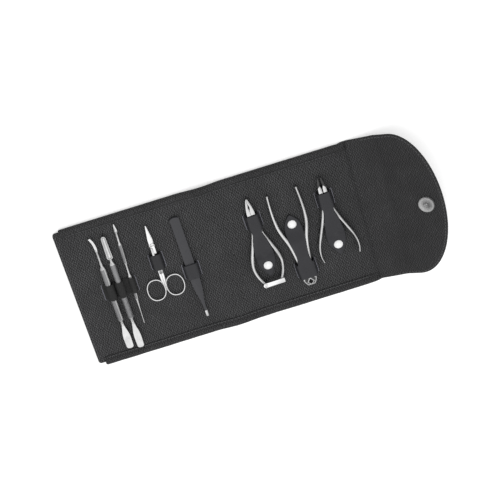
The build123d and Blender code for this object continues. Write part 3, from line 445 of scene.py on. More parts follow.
def steel(name, base, rough, wear, metallic=1.0, tint=WHITE, spread=0.88):
    """Brushed metal, or a coating where metallic is 0. spread is its dark tone over its base."""
    material, tree, shader = new_material(name)
    made = use(
        tree, BRUSHED, Vector=coordinates(tree, "Object"), Dark=grey(base * spread, tint),
        Light=grey(base, tint), Roughness=rough, Wear=wear,
    )
    finished(tree, shader, made, 0.12, 0.02)
    settle(shader, Metallic=metallic)
    return material


def knurled(name, low, high):
    material, tree, shader = new_material(name)
    light = grey(high, (1.0, 1.0, 1.03))
    made = use(tree, KNURLING, Vector=coordinates(tree, "UV"), Dark=grey(low), Light=light)
    finished(tree, shader, made, 1.0, 0.16)
    settle(shader, Metallic=1.0, Roughness=0.42)
    return material


def turned_face(name, base):
    """Metal turned on a lathe: rings about the middle, a dark field, and a rim and dimple painted
    lighter as highlights, with painted shade in a ring beside each.
    """
    material, tree, shader = new_material(name)
    coords = coordinates(tree, "UV")
    out_from = vector_maths(tree, "LENGTH", coords)["Value"]
    share = maths(tree, "MULTIPLY", out_from, 1 / (MAGNET_RADIUS * MM))
    # painted light and shade: a highlight at the dimple and at the rim, a darker ring beside each
    tones_with_painted_light = ((0.0, 1.2), (0.16, 0.7), (0.24, 0.96), (0.82, 1.0), (0.88, 0.8), (0.94, 1.25))
    field = ramp(tree, share, [(at, grey(base * tone)) for at, tone in tones_with_painted_light])
    speckle = ramp(tree, noise_of(tree, coords, 1100.0, 5.0), [(0.35, 0.72), (0.65, 1.12)])
    rings = maths(tree, "SINE", maths(tree, "MULTIPLY", out_from, 5600.0))
    grooves = ramp(tree, maths(tree, "MULTIPLY_ADD", rings, 0.5, 0.5), [(0.0, 0.78), (1.0, 1.1)])
    link(tree, tinted(tree, field, grooves, speckle), shader.inputs["Base Color"])
    settle(shader, Metallic=0.85)
    rough = ramp(tree, noise_of(tree, coords, 600.0), [(0.3, 0.38), (0.7, 0.6)])
    link(tree, rough, shader.inputs["Roughness"])
    bumped(tree, shader, rings, 0.6, 0.04)
    return material


def ribbed(name, low, high):
    """Woven elastic: ribs round the tools with a fine weave between."""
    material, tree, shader = new_material(name)
    coords = coordinates(tree, "UV")
    split = parts_of(tree, coords)
    rib = maths(tree, "SINE", maths(tree, "MULTIPLY", split[1], 6600.0))
    weave = maths(tree, "SINE", maths(tree, "MULTIPLY", split[0], 11000.0))
    height = maths(tree, "MULTIPLY_ADD", weave, 0.25, rib)
    lit = maths(tree, "MULTIPLY_ADD", height, 0.4, 0.5)
    fuzz = ramp(tree, noise_of(tree, coords, 900.0, 4.0), [(0.3, 0.8), (0.7, 1.15)])
    colour = mixed(tree, "MIX", lit, grey(low), grey(high))
    link(tree, tinted(tree, colour, fuzz), shader.inputs["Base Color"])
    settle(shader, Roughness=0.8, Specular_IOR_Level=0.2)
    bumped(tree, shader, height, 0.8, 0.1)
    return material


CASE_LEATHER = leather("case_leather", 13, 69, 2.5, 0.36, 0.5, calmer=53)
FLAP_LEATHER = leather("flap_leather", 15, 52, 2.5, 0.32, 0.5)
RIM_LEATHER = leather("rim_leather", 13, 62, 2.5, 0.32, 0.5, calmer=53)
STRAP_LEATHER = leather("strap_leather", 38, 46, 0.7, 0.03, 0.5, SMOOTH, 0.3)
LOOP_LEATHER = leather("loop_leather", 31, 38, 0.7, 0.03, 0.5, SMOOTH, 0.3)
THREAD = leather("thread", 76, 110, 0.5, 0.05, 0.75)
LIP_LEATHER = leather("slit_lip", 104, 124, 0.6, 0.03, 0.6, SMOOTH)
ELASTIC = ribbed("elastic", 28, 54)
POLISHED = steel("polished_steel", 184, 0.16, 0.25)
# painted dark reflection on the nippers' polished jaw faces that are turned up
JAW_REFLECTION_STEEL = steel("painted_jaw_reflection", 70, 0.3, 0.3)
CLASP_STEEL = steel("clasp_steel", 225, 0.26, 0.1)
SPRING_STEEL = steel("spring_steel", 150, 0.3, 0.3)
SCISSOR_STEEL = steel("scissor_steel", 208, 0.2, 0.25)
TOOL_STEEL = steel("tool_steel", 205, 0.3, 0.25, spread=0.76)
KNURLED = knurled("knurled_steel", 96, 168)
COATING = steel("tweezer_coating", 44, 0.5, 0.2, metallic=0.0, tint=(1.0, 1.0, 1.18))
TIP_STEEL = steel("tweezer_tip", 190, 0.3, 0.2)
MAGNET = turned_face("magnet_nickel", 165)
CAP = steel("snap_cap_white", 240, 0.3, 0.1, metallic=0.0, spread=0.98)
SNAP_METAL = steel("snap_metal", 190, 0.3, 0.1)


# ---------------------------------------------------------------- case body
def lines_between(a, b, step):
    """Places between a and b, evenly apart, without the two ends."""
    count = max(1, round(abs(b - a) / step))
    return [a + (b - a) * i / count for i in range(1, count)]


def flat_outline(x0, x1, half, step=3.0):
    count = max(2, int(abs(x1 - x0) / step))
    xs = [x0 + (x1 - x0) * i / count for i in range(count + 1)]
    return [(x, -half) for x in xs] + [(x, half) for x in reversed(xs)]


def fold_outline():
    """The part of the case at the flap's fold: as wide as the flap, then as the middle panel."""
    xs = [FLAP_SPINE_MID, *lines_between(FLAP_SPINE_MID, MIDDLE_MID, 1.5), MIDDLE_MID]
    narrowing = [ease((x - FLAP_SPINE_FOLD - 4) / 14) for x in xs]
    side = [(x, FLAP_HALF + (PANEL_HALF - FLAP_HALF) * t) for x, t in zip(xs, narrowing)]
    return [(x, -h) for x, h in side] + [(x, h) for x, h in reversed(side)]


def flap_outline():
    """The flap and its half of the spine: straight sides, then half an ellipse."""
    start = FLAP_FOLD - FLAP_STRAIGHT
    points = [(FLAP_SPINE_MID, -FLAP_HALF)]
    count = 72
    for i in range(count + 1):
        a = math.pi * i / count
        points.append((start - FLAP_ROUNDING * math.sin(a), -FLAP_HALF * math.cos(a)))
    points.append((FLAP_SPINE_MID, FLAP_HALF))
    return points


def tool_outline():
    """The tool panel and its half of the spine, with two small round corners."""
    r = 3.0
    turns = [math.pi / 2 * i / 6 for i in range(7)]
    points = [(SPINE_MID, -PANEL_HALF)]
    for a in turns:
        points.append((TOOL_EDGE - r + r * math.sin(a), -PANEL_HALF + r - r * math.cos(a)))
    for a in turns:
        points.append((TOOL_EDGE - r + r * math.cos(a), PANEL_HALF - r + r * math.sin(a)))
    points.append((SPINE_MID, PANEL_HALF))
    return points


def inset(outline, distance, open_x):
    """The outline moved inward, with the ends on open_x kept on it."""
    count = len(outline)
    made = []
    for i, (x, y) in enumerate(outline):
        ax, ay = outline[i - 1]
        bx, by = outline[(i + 1) % count]
        if any(abs(x - o) < 1e-6 for o in open_x):
            made.append((x, y - math.copysign(distance, y)))
            continue
        tx, ty = bx - ax, by - ay
        size = math.hypot(tx, ty)
        made.append((x - ty / size * distance, y + tx / size * distance))
    return made


def case_shell(name, outline, open_x, thick, material, x_lines, swell):
    """A closed leather shell from its flat outline, with rounded edges, laid to rest in strips."""
    bm = bmesh.new()
    following = outline[1:] + outline[:1]
    if sum(ax * by - bx * ay for (ax, ay), (bx, by) in zip(outline, following)) < 0:
        outline = outline[::-1]
    edge = [(0.9, 0.0), (0.25, 0.25), (0.0, 0.8)]
    profile = edge + [(d, thick - z) for d, z in reversed(edge)]
    tube(bm, [[bm.verts.new((*p, z)) for p in inset(outline, d, open_x)] for d, z in profile])
    for x in x_lines:
        cut(bm, (x, 0, 0), (1, 0, 0))
    for i in range(-18, 19):
        cut(bm, (0, i * 4.2, 0), (0, 1, 0))
    layer = bm.loops.layers.uv.new("flat")
    for face in bm.faces:
        for loop in face.loops:
            x, y, z = loop.vert.co
            loop[layer].uv = ((x + z - thick) * MM, (y + z - thick) * MM)
    for vert in bm.verts:
        x, y, z = vert.co
        if z > thick - 0.3:
            z += swell(x, y)
        x, z = to_rest(x, z)
        vert.co = (x, y, z)
    return obj_from(bm, name, material, smooth=50.0)


def fold_point(x):
    """A point on the case's neutral line, in metres."""
    rx, rz = to_rest(x, HINGE)
    return (rx * MM, 0.0, rz * MM)


def blend_over(obj, a, b, fold, a_side):
    """Bake a piece's place into its mesh, after working out the points on either side of the fold,
    which are not used. a_side is +1 where body a is on the +X side.
    """
    fold_point(fold + a_side * BEND)
    fold_point(fold - a_side * BEND)
    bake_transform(obj)


flap = case_shell(
    "flap_sheet",
    flap_outline(),
    (FLAP_SPINE_MID,),
    FLAP_THICK,
    FLAP_LEATHER,
    lines_between(FLAP_SPINE_MID, FLAP_FOLD - BEND, FINE)
    + lines_between(FLAP_FOLD - BEND, FLAP_TIP, COARSE),
    lambda x, y: 0.5 * lay(x, y),
)
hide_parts("flap_outer", "flap_lining", "flap_spine_outer", "flap_spine_lining")
blend_over(flap, "flap_spine", "flap", FLAP_FOLD, 1)


def fold_swell(x, y):
    """From the flap's thickness to the panel's, with the lining's waves."""
    thicker = (PANEL - FLAP_THICK) * ease((x - FLAP_SPINE_FOLD + 1.0) / 6.0)
    return thicker + 0.5 * lay(x, y) * (1 + ease((x - FLAP_SPINE_FOLD) / 20))


fold = case_shell(
    "fold_sheet",
    fold_outline(),
    (FLAP_SPINE_MID, MIDDLE_MID),
    FLAP_THICK,
    CASE_LEATHER,
    lines_between(FLAP_SPINE_MID, FLAP_SPINE_FOLD + BEND, FINE)
    + lines_between(FLAP_SPINE_FOLD + BEND, MIDDLE_MID, COARSE),
    fold_swell,
)
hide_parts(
    "flap_spine_outer", "flap_spine_lining", "middle_outer", "middle_board", "middle_lining"
)
blend_over(fold, "middle_panel", "flap_spine", FLAP_SPINE_FOLD, 1)

middle = case_shell(
    "middle_sheet",
    flat_outline(MIDDLE_MID, SPINE_MID, PANEL_HALF),
    (MIDDLE_MID, SPINE_MID),
    PANEL,
    CASE_LEATHER,
    lines_between(MIDDLE_MID, MIDDLE_FOLD - BEND, COARSE)
    + lines_between(MIDDLE_FOLD - BEND, SPINE_MID, FINE),
    lay,
)
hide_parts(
    "middle_outer", "middle_board", "middle_lining",
    "spine_outer", "spine_padding", "spine_lining",
)
blend_over(middle, "middle_panel", "spine", MIDDLE_FOLD, -1)

tools = case_shell(
    "tool_sheet",
    tool_outline(),
    (SPINE_MID,),
    PANEL,
    CASE_LEATHER,
    lines_between(SPINE_MID, TOOL_FOLD + BEND, FINE)
    + lines_between(TOOL_FOLD + BEND, TOOL_EDGE - 4, COARSE),
    lay,
)
# The round recess for the snap's post, cut from below up to the lining
bm = bmesh.new()
bmesh.ops.create_cone(
    bm, segments=64, radius1=SNAP_RECESS * MM, radius2=SNAP_RECESS * MM,
    depth=(BOARD_TOP + 1.0) * MM, cap_ends=True,
    matrix=Matrix.Translation((SNAP_X * MM, 0.0, (BOARD_TOP - 1.0) / 2 * MM)),
)
cutter_mesh = bpy.data.meshes.new("recess")
bm.to_mesh(cutter_mesh)
bm.free()
cutter = in_scene("recess", cutter_mesh)
recess = tools.modifiers.new("recess", "BOOLEAN")
recess.operation = "DIFFERENCE"
recess.solver = "EXACT"
recess.object = cutter
applied(tools)
bpy.data.objects.remove(cutter)
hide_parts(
    "spine_outer", "spine_padding", "spine_lining",
    "tool_panel_outer", "tool_panel_board", "tool_panel_lining",
)
blend_over(tools, "spine", "tool_panel", TOOL_FOLD, -1)


# ---------------------------------------------------------------- rims
RIM_SECTION = [
    (71.0, 3.62), (70.85, 3.9), (71.0, 4.5), (71.6, 4.75), (72.4, 4.8), (73.2, 5.4),
    (74.2, 6.35), (75.4, 6.85), (76.8, 6.95), (78.2, 6.65), (79.3, 5.9), (80.0, 4.8),
    (80.15, 3.4), (80.0, 2.0), (79.4, 1.15), (78.2, 0.92), (77.3, 1.0), (77.25, 3.62),
]
RIM_MIDDLE, RIM_LOW, RIM_HALF = 75.6, 3.0, 80.35
RIM_STEP = 1.6


def rim(name, x0, x1, end_at, a, b, fold_at, nodes):
    """A padded rim on both long edges, from x0 to x1, which fades or closes where it ends."""
    bm = bmesh.new()
    layer = bm.loops.layers.uv.new("flat")
    stations = [x0] + lines_between(x0, x1, RIM_STEP) + [x1]
    lengths = run_lengths(RIM_SECTION + RIM_SECTION[:1])
    size = len(RIM_SECTION)
    for side in (-1, 1):
        rings = []
        for x in stations:
            near = abs(x - end_at)
            reach = RIM_TAPER if x < 0 else RIM_STEP
            full = math.sqrt(max(0.0, 1 - (1 - min(1.0, near / reach)) ** 2))
            ring = []
            for y, z in RIM_SECTION:
                wave = 0.18 * soft(x, side * 40, 17.0, 9.0) + 0.1 * soft(x, y * side, 6.0, 3.0)
                squeeze = 0.9 + 0.1 * full
                yy = RIM_MIDDLE + (y - RIM_MIDDLE) * squeeze
                yy += wave if y > 73 and z > 3.8 else 0.0
                flat = 0.72 if x > 0 else 0.1
                zz = RIM_LOW + (z - RIM_LOW) * (flat + (1 - flat) * full)
                zz += 0.5 * wave if z > 4.9 else 0.0
                rx, rz = to_rest(x, zz)
                ring.append(bm.verts.new((rx, side * min(yy, RIM_HALF), rz)))
            rings.append(ring)
        for n, (low, high) in enumerate(zip(rings, rings[1:])):
            for i in range(size):
                j = (i + 1) % size
                face = bm.faces.new((low[i], low[j], high[j], high[i]))
                spots = ((n, i), (n, i + 1), (n + 1, i + 1), (n + 1, i))
                for loop, (m, k) in zip(face.loops, spots):
                    loop[layer].uv = (stations[m] * MM, side * (100 + lengths[k]) * MM)
        for ring in (rings[0], rings[-1]):
            cap = bm.faces.new(ring)
            for loop in cap.loops:
                loop[layer].uv = (loop.vert.co.y * MM, loop.vert.co.z * MM)
    made = obj_from(bm, name, RIM_LEATHER, smooth=60.0)
    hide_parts(*nodes)
    blend_over(made, a, b, fold_at, -1)


RIM_START = FLAP_SPINE_FOLD + 1.5
RIM_END = TOOL_EDGE - 7.0
rim(
    "rim_middle", RIM_START, SPINE_MID, RIM_START,
    "middle_panel", "spine", MIDDLE_FOLD, ("middle_rims", "spine_rims"),
)
rim(
    "rim_tools", SPINE_MID, RIM_END, RIM_END,
    "spine", "tool_panel", TOOL_FOLD, ("spine_rims", "tool_panel_rims"),
)


# ---------------------------------------------------------------- stitches
STITCH_SHAPE = (
    (0.0, 0.35), (0.08, 0.8), (0.25, 1.0), (0.5, 1.06), (0.75, 1.0), (0.92, 0.8), (1.0, 0.35),
)


def stitch_line(bm, points, long=2.5, gap=1.0, wide=0.36, high=0.34):
    """Stitches along a line of (x, y, z) points of the flat case, each a low rounded capsule."""
    lengths = run_lengths(points)

    def at(s):
        """The point and the direction at a length along the line."""
        for (a, b, la, lb) in zip(points, points[1:], lengths, lengths[1:]):
            if s <= lb or b is points[-1]:
                t = (s - la) / (lb - la)
                return Vector(a).lerp(Vector(b), t), (Vector(b) - Vector(a)).normalized()

    s = gap
    while s + long < lengths[-1]:
        rings = []
        for t, size in STITCH_SHAPE:
            centre, along = at(s + long * t)
            side = Vector((-along.y, along.x, 0.0))
            drop = -0.22 * (abs(2 * t - 1) ** 3)
            ring = []
            for k in range(6):
                a = math.tau * k / 6
                p = centre + side * wide * size * math.cos(a)
                p.z += drop + high * size * math.sin(a)
                rx, rz = to_rest(p.x, p.z)
                ring.append(bm.verts.new((rx, p.y, rz)))
            rings.append(ring)
        tube(bm, rings)
        s += long + gap


def stitched(name, lines, riders, fold_at=None, a_side=-1):
    bm = bmesh.new()
    for points in lines:
        stitch_line(bm, points)
    made = obj_from(bm, name, THREAD, smooth=60.0)
    if fold_at is None:
        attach(made, riders[0])
    else:
        blend_over(made, *riders, fold_at, a_side)


def rim_stitches(x0, x1):
    """A line of stitches on the inner side of each rim."""
    return [[(x, side * 72.0, 4.83) for x in (x0, (x0 + x1) / 2, x1)] for side in (-1, 1)]


STITCH_IN = 2.2
stitched(
    "stitches_middle", rim_stitches(FLAP_SPINE_FOLD + 13.0, SPINE_MID),
    ("middle_panel", "spine"), MIDDLE_FOLD,
)
stitched(
    "stitches_tools", rim_stitches(SPINE_MID, TOOL_EDGE - 8.5), ("spine", "tool_panel"), TOOL_FOLD
)
edge = inset(flap_outline(), -STITCH_IN, (FLAP_SPINE_MID,))
stitched(
    "stitches_flap", [[(x, y, FLAP_THICK + 0.1) for x, y in edge]],
    ("flap_spine", "flap"), FLAP_FOLD, 1,
)
stitched(
    "stitches_edge", [[(TOOL_EDGE - STITCH_IN, y, PANEL + 0.12) for y in (-75.0, 0.0, 75.0)]],
    ("tool_panel",),
)


# ---------------------------------------------------------------- straps and loops
def arch(foot, shoulder, top, rise=0.5, foot_round=2.2, shoulder_round=2.4, below=1.0):
    """Points of an arched strap's outer side, from one slit to the other, with rounded corners."""
    side = [(foot, -below), (foot, rise), (shoulder, top)]
    corners = [(-x, z) for x, z in side] + side[::-1]
    radii = [0, foot_round, shoulder_round, shoulder_round, foot_round, 0]
    points = []
    for i, (p, r) in enumerate(zip(corners, radii)):
        if not r:
            points.append(p)
            continue
        a, b, c = Vector(corners[i - 1]), Vector(p), Vector(corners[i + 1])
        u, v = (a - b).normalized(), (c - b).normalized()
        half = math.acos(max(-1, min(1, u.dot(v)))) / 2
        reach = r / math.tan(half)
        for t in (0.0, 0.5, 1.0):
            start, end = b + u * reach, b + v * reach
            q = start.lerp(b, t).lerp(b.lerp(end, t), t)
            points.append((q.x, q.y))
    return points


def resampled(points, count):
    """Evenly spaced points along a line, and the line's length."""
    lengths = run_lengths(points)
    made = []
    for i in range(count + 1):
        s = lengths[-1] * i / count
        k = max(j for j in range(len(lengths) - 1) if lengths[j] <= s + 1e-9)
        t = (s - lengths[k]) / (lengths[k + 1] - lengths[k])
        made.append((
            points[k][0] + (points[k + 1][0] - points[k][0]) * t,
            points[k][1] + (points[k + 1][1] - points[k][1]) * t,
        ))
    return made, lengths[-1]


def leather_strip(name, grid, thickness, material, plane, steps=(1.0, 1.0), rounds=2):
    """A softened strap of some thickness, from a grid of outer points. None leaves a gap."""
    bm = bmesh.new()
    layer = bm.loops.layers.uv.new("flat")
    verts = [[bm.verts.new(p) if p is not None else None for p in row] for row in grid]
    for i in range(len(grid) - 1):
        for j in range(len(grid[i]) - 1):
            four = (verts[i][j], verts[i][j + 1], verts[i + 1][j + 1], verts[i + 1][j])
            if None in four:
                continue
            face = bm.faces.new(four)
            for loop, (m, k) in zip(face.loops, ((i, j), (i, j + 1), (i + 1, j + 1), (i + 1, j))):
                loop[layer].uv = (k * steps[0] * MM, m * steps[1] * MM)
    for vert in [v for v in bm.verts if not v.link_faces]:
        bm.verts.remove(vert)
    bmesh.ops.recalc_face_normals(bm, faces=bm.faces)
    if sum(f.normal.z * f.calc_area() for f in bm.faces) < 0:
        bmesh.ops.reverse_faces(bm, faces=bm.faces)
    bmesh.ops.transform(bm, matrix=plane, verts=bm.verts)
    made = obj_from(bm, name, material, smooth=180.0)
    solid = made.modifiers.new("thickness", "SOLIDIFY")
    solid.thickness = thickness * MM
    solid.offset = -1.0
    solid.use_even_offset = True
    round_off = made.modifiers.new("round", "SUBSURF")
    round_off.levels = rounds
    round_off.render_levels = rounds
    applied(made)
    made.data.shade_smooth()
    return made


# Each band and strap in its nipper's own frame, from the pivot along the strap. band: its centre,
# its length, and the half widths of its feet and of its shoulders at both ends. strap: half widths
# and how far along they are. snap: the cap's place. tail: the strap beyond it.
STRAP_END = ((7.4, 21.0), (9.4, 34.0), (9.9, 44.0), (8.2, 53.0))
NIPPERS = {
    1: dict(
        x=NIPPERS_X + 36.6, pivot=-28.0, lean=1.5, tail=13.5, snap=52.1,
        band=(-0.5, 16.4, (7.2, 8.0), (5.6, 6.4)),
        strap=((4.6, 7.7), (4.8, 12.0), *STRAP_END),
    ),
    2: dict(
        x=NIPPERS_X - 0.9, pivot=38.0, lean=181.9, tail=10.7, snap=50.1,
        band=(-2.6, 17.4, (10.0, 10.3), (8.7, 9.0)),
        strap=((6.4, 6.1), (6.3, 14.0), (7.6, 26.0), (9.2, 37.0), (9.3, 44.0), (7.0, 53.0)),
    ),
    3: dict(
        x=NIPPERS_X - 37.5, pivot=-28.0, lean=0.9, tail=12.7, snap=52.9,
        band=(-0.5, 17.4, (7.3, 8.2), (5.9, 6.8)),
        strap=((4.9, 8.2), (5.1, 12.0), *STRAP_END),
    ),
}
NIPPER_HIGH = 6.8
SNAP_STUD = 0.8
BAND_TOP = GAP + NIPPER_HIGH + GAP + BAND_THICK + 0.2
STRAP_LOW = SNAP_STUD + GAP + BAND_THICK
TWEEZERS_TOP = GAP + 4.5 + GAP + LOOP_THICK
SCISSORS_TOP = GAP + 3.6 + 0.05 + 0.6 + GAP + LOOP_THICK


def smooth_width(points, apex, y):
    """Half width of a strap at y, from its listed points to a round end at the apex."""
    table = [(yy, w) for w, yy in points] + [(apex - 0.6, 1.4), (apex, 0.0)]
    for (ya, wa), (yb, wb) in zip(table, table[1:]):
        if y <= yb:
            i = table.index((ya, wa))
            before = table[max(0, i - 1)]
            after = table[min(len(table) - 1, i + 2)]
            t = max(0.0, (y - ya) / (yb - ya))
            ma = (wb - before[1]) / (yb - before[0]) * (yb - ya)
            mb = (after[1] - wa) / (after[0] - ya) * (yb - ya)
            if i >= len(table) - 3:
                ma = mb = wb - wa
            return (
                (2 * t**3 - 3 * t**2 + 1) * wa + (t**3 - 2 * t**2 + t) * ma
                + (-2 * t**3 + 3 * t**2) * wb + (t**3 - t**2) * mb
            )
    return 0.0


for number, n in NIPPERS.items():
    centre, length, foot, shoulder = n["band"]
    start = centre + length / 2
    apex = n["snap"] + n["tail"]
    low_from = n["snap"] - 4.5 - 1.1  # beside the cap
    drop_from = low_from - 16.0
    plane = (
        Matrix.Translation((n["x"], n["pivot"], PANEL))
        @ Matrix.Rotation(math.radians(n["lean"]), 4, "Z")
    )
    grid = []
    for i in range(9):
        y = centre - length / 2 + length * i / 8
        sag = 0.10 * math.sin(math.pi * i / 8)
        narrow, wide = (low + (high - low) * i / 8 for low, high in (foot, shoulder))
        section, _ = resampled(arch(narrow, wide, BAND_TOP), 28)
        grid.append([(a, y, b - (sag if b > 4 else 0.0)) for a, b in section])
    inside = [j for j, (a, b) in enumerate(section) if b > BAND_TOP - 0.6]
    first, last = inside[0], inside[-1]
    for k in range(1, 27):
        y = start + (apex - start) * (k / 26)
        w = smooth_width(n["strap"], apex, min(y, apex - 0.05))
        w += (section[last][0] - w) * (1 - ease((y - start) / 7.0))
        drop = ease((y - drop_from) / (low_from - drop_from))
        z = BAND_TOP + (STRAP_LOW - BAND_TOP) * drop
        row = [None] * len(section)
        for j in range(first, last + 1):
            f = 2 * (j - first) / (last - first) - 1
            crown = 0.35 * (1 - f * f) * ease((y - start) / 10)
            row[j] = (w * f, y, z - 0.3 + crown)
        grid.append(row)
    strap = leather_strip(f"strap_leather_{number}", grid, BAND_THICK, STRAP_LEATHER, plane)
    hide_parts(f"band_{number}", f"strap_{number}")
    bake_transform(strap)

for name, hide, x, y, length, foot, shoulder, top in (
    ("tweezers_loop", STRAP_LEATHER, TWEEZERS_X, TWEEZERS_LOOP_Y, 16.8, 7.9, 6.2, TWEEZERS_TOP),
    ("scissors_loop", LOOP_LEATHER, SCISSORS_X, SCISSORS_LOOP_Y, 17.8, 6.4, 4.7, SCISSORS_TOP),
):
    section, _ = resampled(arch(foot, shoulder, top), 24)
    grid = [[(a, -length / 2 + length * i / 8, b) for a, b in section] for i in range(9)]
    plane = Matrix.Translation((x, y, PANEL))
    loop = leather_strip(f"{name}_leather", grid, LOOP_THICK, hide, plane)
    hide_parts(name)
    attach(loop, "tool_panel")

# The elastic's path: flat on the panel, then up and over each of the three tools
ELASTIC_THICK = 0.8
ELASTIC_LENGTH = 18.0
SPANS = 110
path = [(-ELASTIC_HALF, -0.5), (-ELASTIC_HALF, ELASTIC_THICK)]
for x, grip in TOOLS.values():
    reach = grip + 1.1
    path.append((x - ELASTIC_MIDDLE - reach, ELASTIC_THICK))
    for k in range(9):
        a = math.pi * k / 8
        path.append((x - ELASTIC_MIDDLE - reach * math.cos(a), GAP + grip + reach * math.sin(a)))
    path.append((x - ELASTIC_MIDDLE + reach, ELASTIC_THICK))
path += [(ELASTIC_HALF, ELASTIC_THICK), (ELASTIC_HALF, -0.5)]
section, around = resampled(path, SPANS)
rows = [-ELASTIC_LENGTH / 2 + ELASTIC_LENGTH * i / 6 for i in range(7)]
elastic = leather_strip(
    "elastic_loops_woven", [[(a, y, b) for a, b in section] for y in rows], ELASTIC_THICK, ELASTIC,
    Matrix.Translation((ELASTIC_MIDDLE, 0.0, PANEL)), steps=(around / SPANS, 3.0), rounds=1,
)
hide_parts("elastic_loops")
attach(elastic, "tool_panel")


def lips(name, body, slits):
    """Turned edges of the slits that straps and loops pass through: a bar with short returns."""
    bm = bmesh.new()
    for x, y, lean, foot, length in slits:
        turned = Matrix.Rotation(math.radians(lean), 4, "Z")
        plane = Matrix.Translation((x, y, PANEL + 0.32)) @ turned
        for side in (-1, 1):
            bars = [((side * (foot + 1.0), 0.0), (0.7, length + 1.2))]
            for end in (-1, 1):
                bars.append(((side * (foot + 0.1), end * (length / 2 + 0.6)), (1.9, 0.45)))
            for (px, py), (wide, long) in bars:
                stretch = Matrix.Diagonal((wide, long, 0.45, 1.0))
                place = plane @ Matrix.Translation((px, py, 0.0)) @ stretch
                bmesh.ops.create_cube(bm, size=1.0, matrix=place)
    eased(bm, bm.edges[:], 0.14, clamp=False)
    layer = bm.loops.layers.uv.new("flat")
    for face in bm.faces:
        for loop in face.loops:
            loop[layer].uv = (loop.vert.co.x * MM, loop.vert.co.y * MM)
    made = obj_from(bm, name, LIP_LEATHER, smooth=50.0)
    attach(made, body)


slits = []
for n in NIPPERS.values():
    centre, length, foot, _ = n["band"]
    lean = math.radians(n["lean"])
    x, y = n["x"] - centre * math.sin(lean), n["pivot"] + centre * math.cos(lean)
    slits.append((x, y, n["lean"], foot[1] - 0.4, length - 2.0))
lips("slit_edges_middle", "middle_panel", slits)
lips(
    "slit_edges_tools", "tool_panel",
    [
        (TWEEZERS_X, TWEEZERS_LOOP_Y, 0.0, 7.6, 14.8),
        (SCISSORS_X, SCISSORS_LOOP_Y, 0.0, 6.2, 15.8),
        (ELASTIC_MIDDLE, 0.0, 0.0, 16.6, 16.0),
    ],
)


# ---------------------------------------------------------------- metal pieces
def dressed(
    name, body, *materials, pick=None, uv=None, cuts=(), sharp=32.0, edge=0.0, shape=None, inlay=0.0
):
    """A finished copy of a metal node: merged, its edges eased and its curves shaded smooth."""
    bm = bmesh.new()
    bm.from_mesh(NODES[name].data)
    bmesh.ops.remove_doubles(bm, verts=bm.verts, dist=2e-6)
    bmesh.ops.scale(bm, vec=(1 / MM,) * 3, verts=bm.verts)
    for place, normal in cuts:
        cut(bm, place, normal)
    if shape:
        for vert in bm.verts:
            vert.co = shape(vert.co)
    for face in bm.faces:
        face.material_index = pick(face.calc_center_median(), face.normal) if pick else 0
    if edge:
        bmesh.ops.dissolve_limit(
            bm, angle_limit=math.radians(0.5), use_dissolve_boundaries=False, verts=bm.verts,
            edges=bm.edges, delimit={"MATERIAL"},
        )
        shared = [e for e in bm.edges if len(e.link_faces) == 2]
        eased(bm, [e for e in shared if e.calc_face_angle(0) > math.radians(sharp)], edge)
    if inlay:
        # the painted dark reflection on a jaw's end, set in with a polished border round it
        dark = [f for f in bm.faces if f.material_index and f.calc_area() > 4.0]
        border = bmesh.ops.inset_region(
            bm, faces=dark, thickness=inlay, depth=-0.15, use_even_offset=True
        )
        for face in border["faces"]:
            face.material_index = 0
        in_order(bm)
    if uv:
        layer = bm.loops.layers.uv.new("around")
        for face in bm.faces:
            middle = face.calc_center_median()
            for loop in face.loops:
                loop[layer].uv = uv(loop.vert.co, middle)
    made = obj_from(bm, f"{name}_finished", materials[0], smooth=sharp)
    for extra in materials[1:]:
        made.data.materials.append(extra)
    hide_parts(name)
    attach(made, body)
    return made


# Which faces of a nipper's jaws are painted dark, a painted dark reflection on the faces turned up
PAINTED_REFLECTION_FACES = {
    2: lambda p, n: int(p.y > 47.0 and n.z > 0.9),
    3: lambda p, n: int(p.y < -44.0 and n.z > 0.5),
}
for number in (1, 2, 3):
    for letter in "ab":
        body = f"nipper_{number}_{letter}"
        dressed(
            f"{body[:-2]}_half_{letter}", body, POLISHED, JAW_REFLECTION_STEEL, edge=0.18,
            pick=PAINTED_REFLECTION_FACES.get(number), inlay=1.0 if number == 2 else 0.0,
        )
        dressed(f"nipper_{number}_spring_{letter}", body, SPRING_STEEL)
    dressed(f"nipper_{number}_pin", f"nipper_{number}_a", POLISHED)
    dressed(f"snap_cap_{number}", f"strap_{number}", CAP, sharp=40.0)
dressed("nipper_1_clasp", "nipper_1_clasp", CLASP_STEEL, edge=0.25)
dressed("nipper_1_clasp_pin", "nipper_1_a", CLASP_STEEL)
dressed("strap_studs", "middle_panel", SNAP_METAL)
dressed("snap_post", "tool_panel", SNAP_METAL)

RING_WIRE = 0.72
FORK_HEIGHTS = (4.25, 7.75)
FORK = (  # half of the fork's outline, out from the scissors' middle and along from the pivot
    (0.06, 33.0), (0.06, 52.6), (0.5, 52.6), (0.95, 47.5), (1.75, 42.5), (2.24, 37.5), (2.24, 33.0),
)


def ring_line(hand, count=56):
    """The middle of a finger ring's wire: an oval with fuller corners."""
    points = []
    for k in range(count):
        c, s = math.cos(math.tau * k / count), math.sin(math.tau * k / count)
        points.append(Vector((
            SCISSORS_X + hand * 9.85 + 8.95 * math.copysign(abs(c) ** 0.9, c),
            SCISSORS_PIVOT_Y + 50.3 + 11.7 * math.copysign(abs(s) ** 0.9, s), 5.8,
        )))
    return points


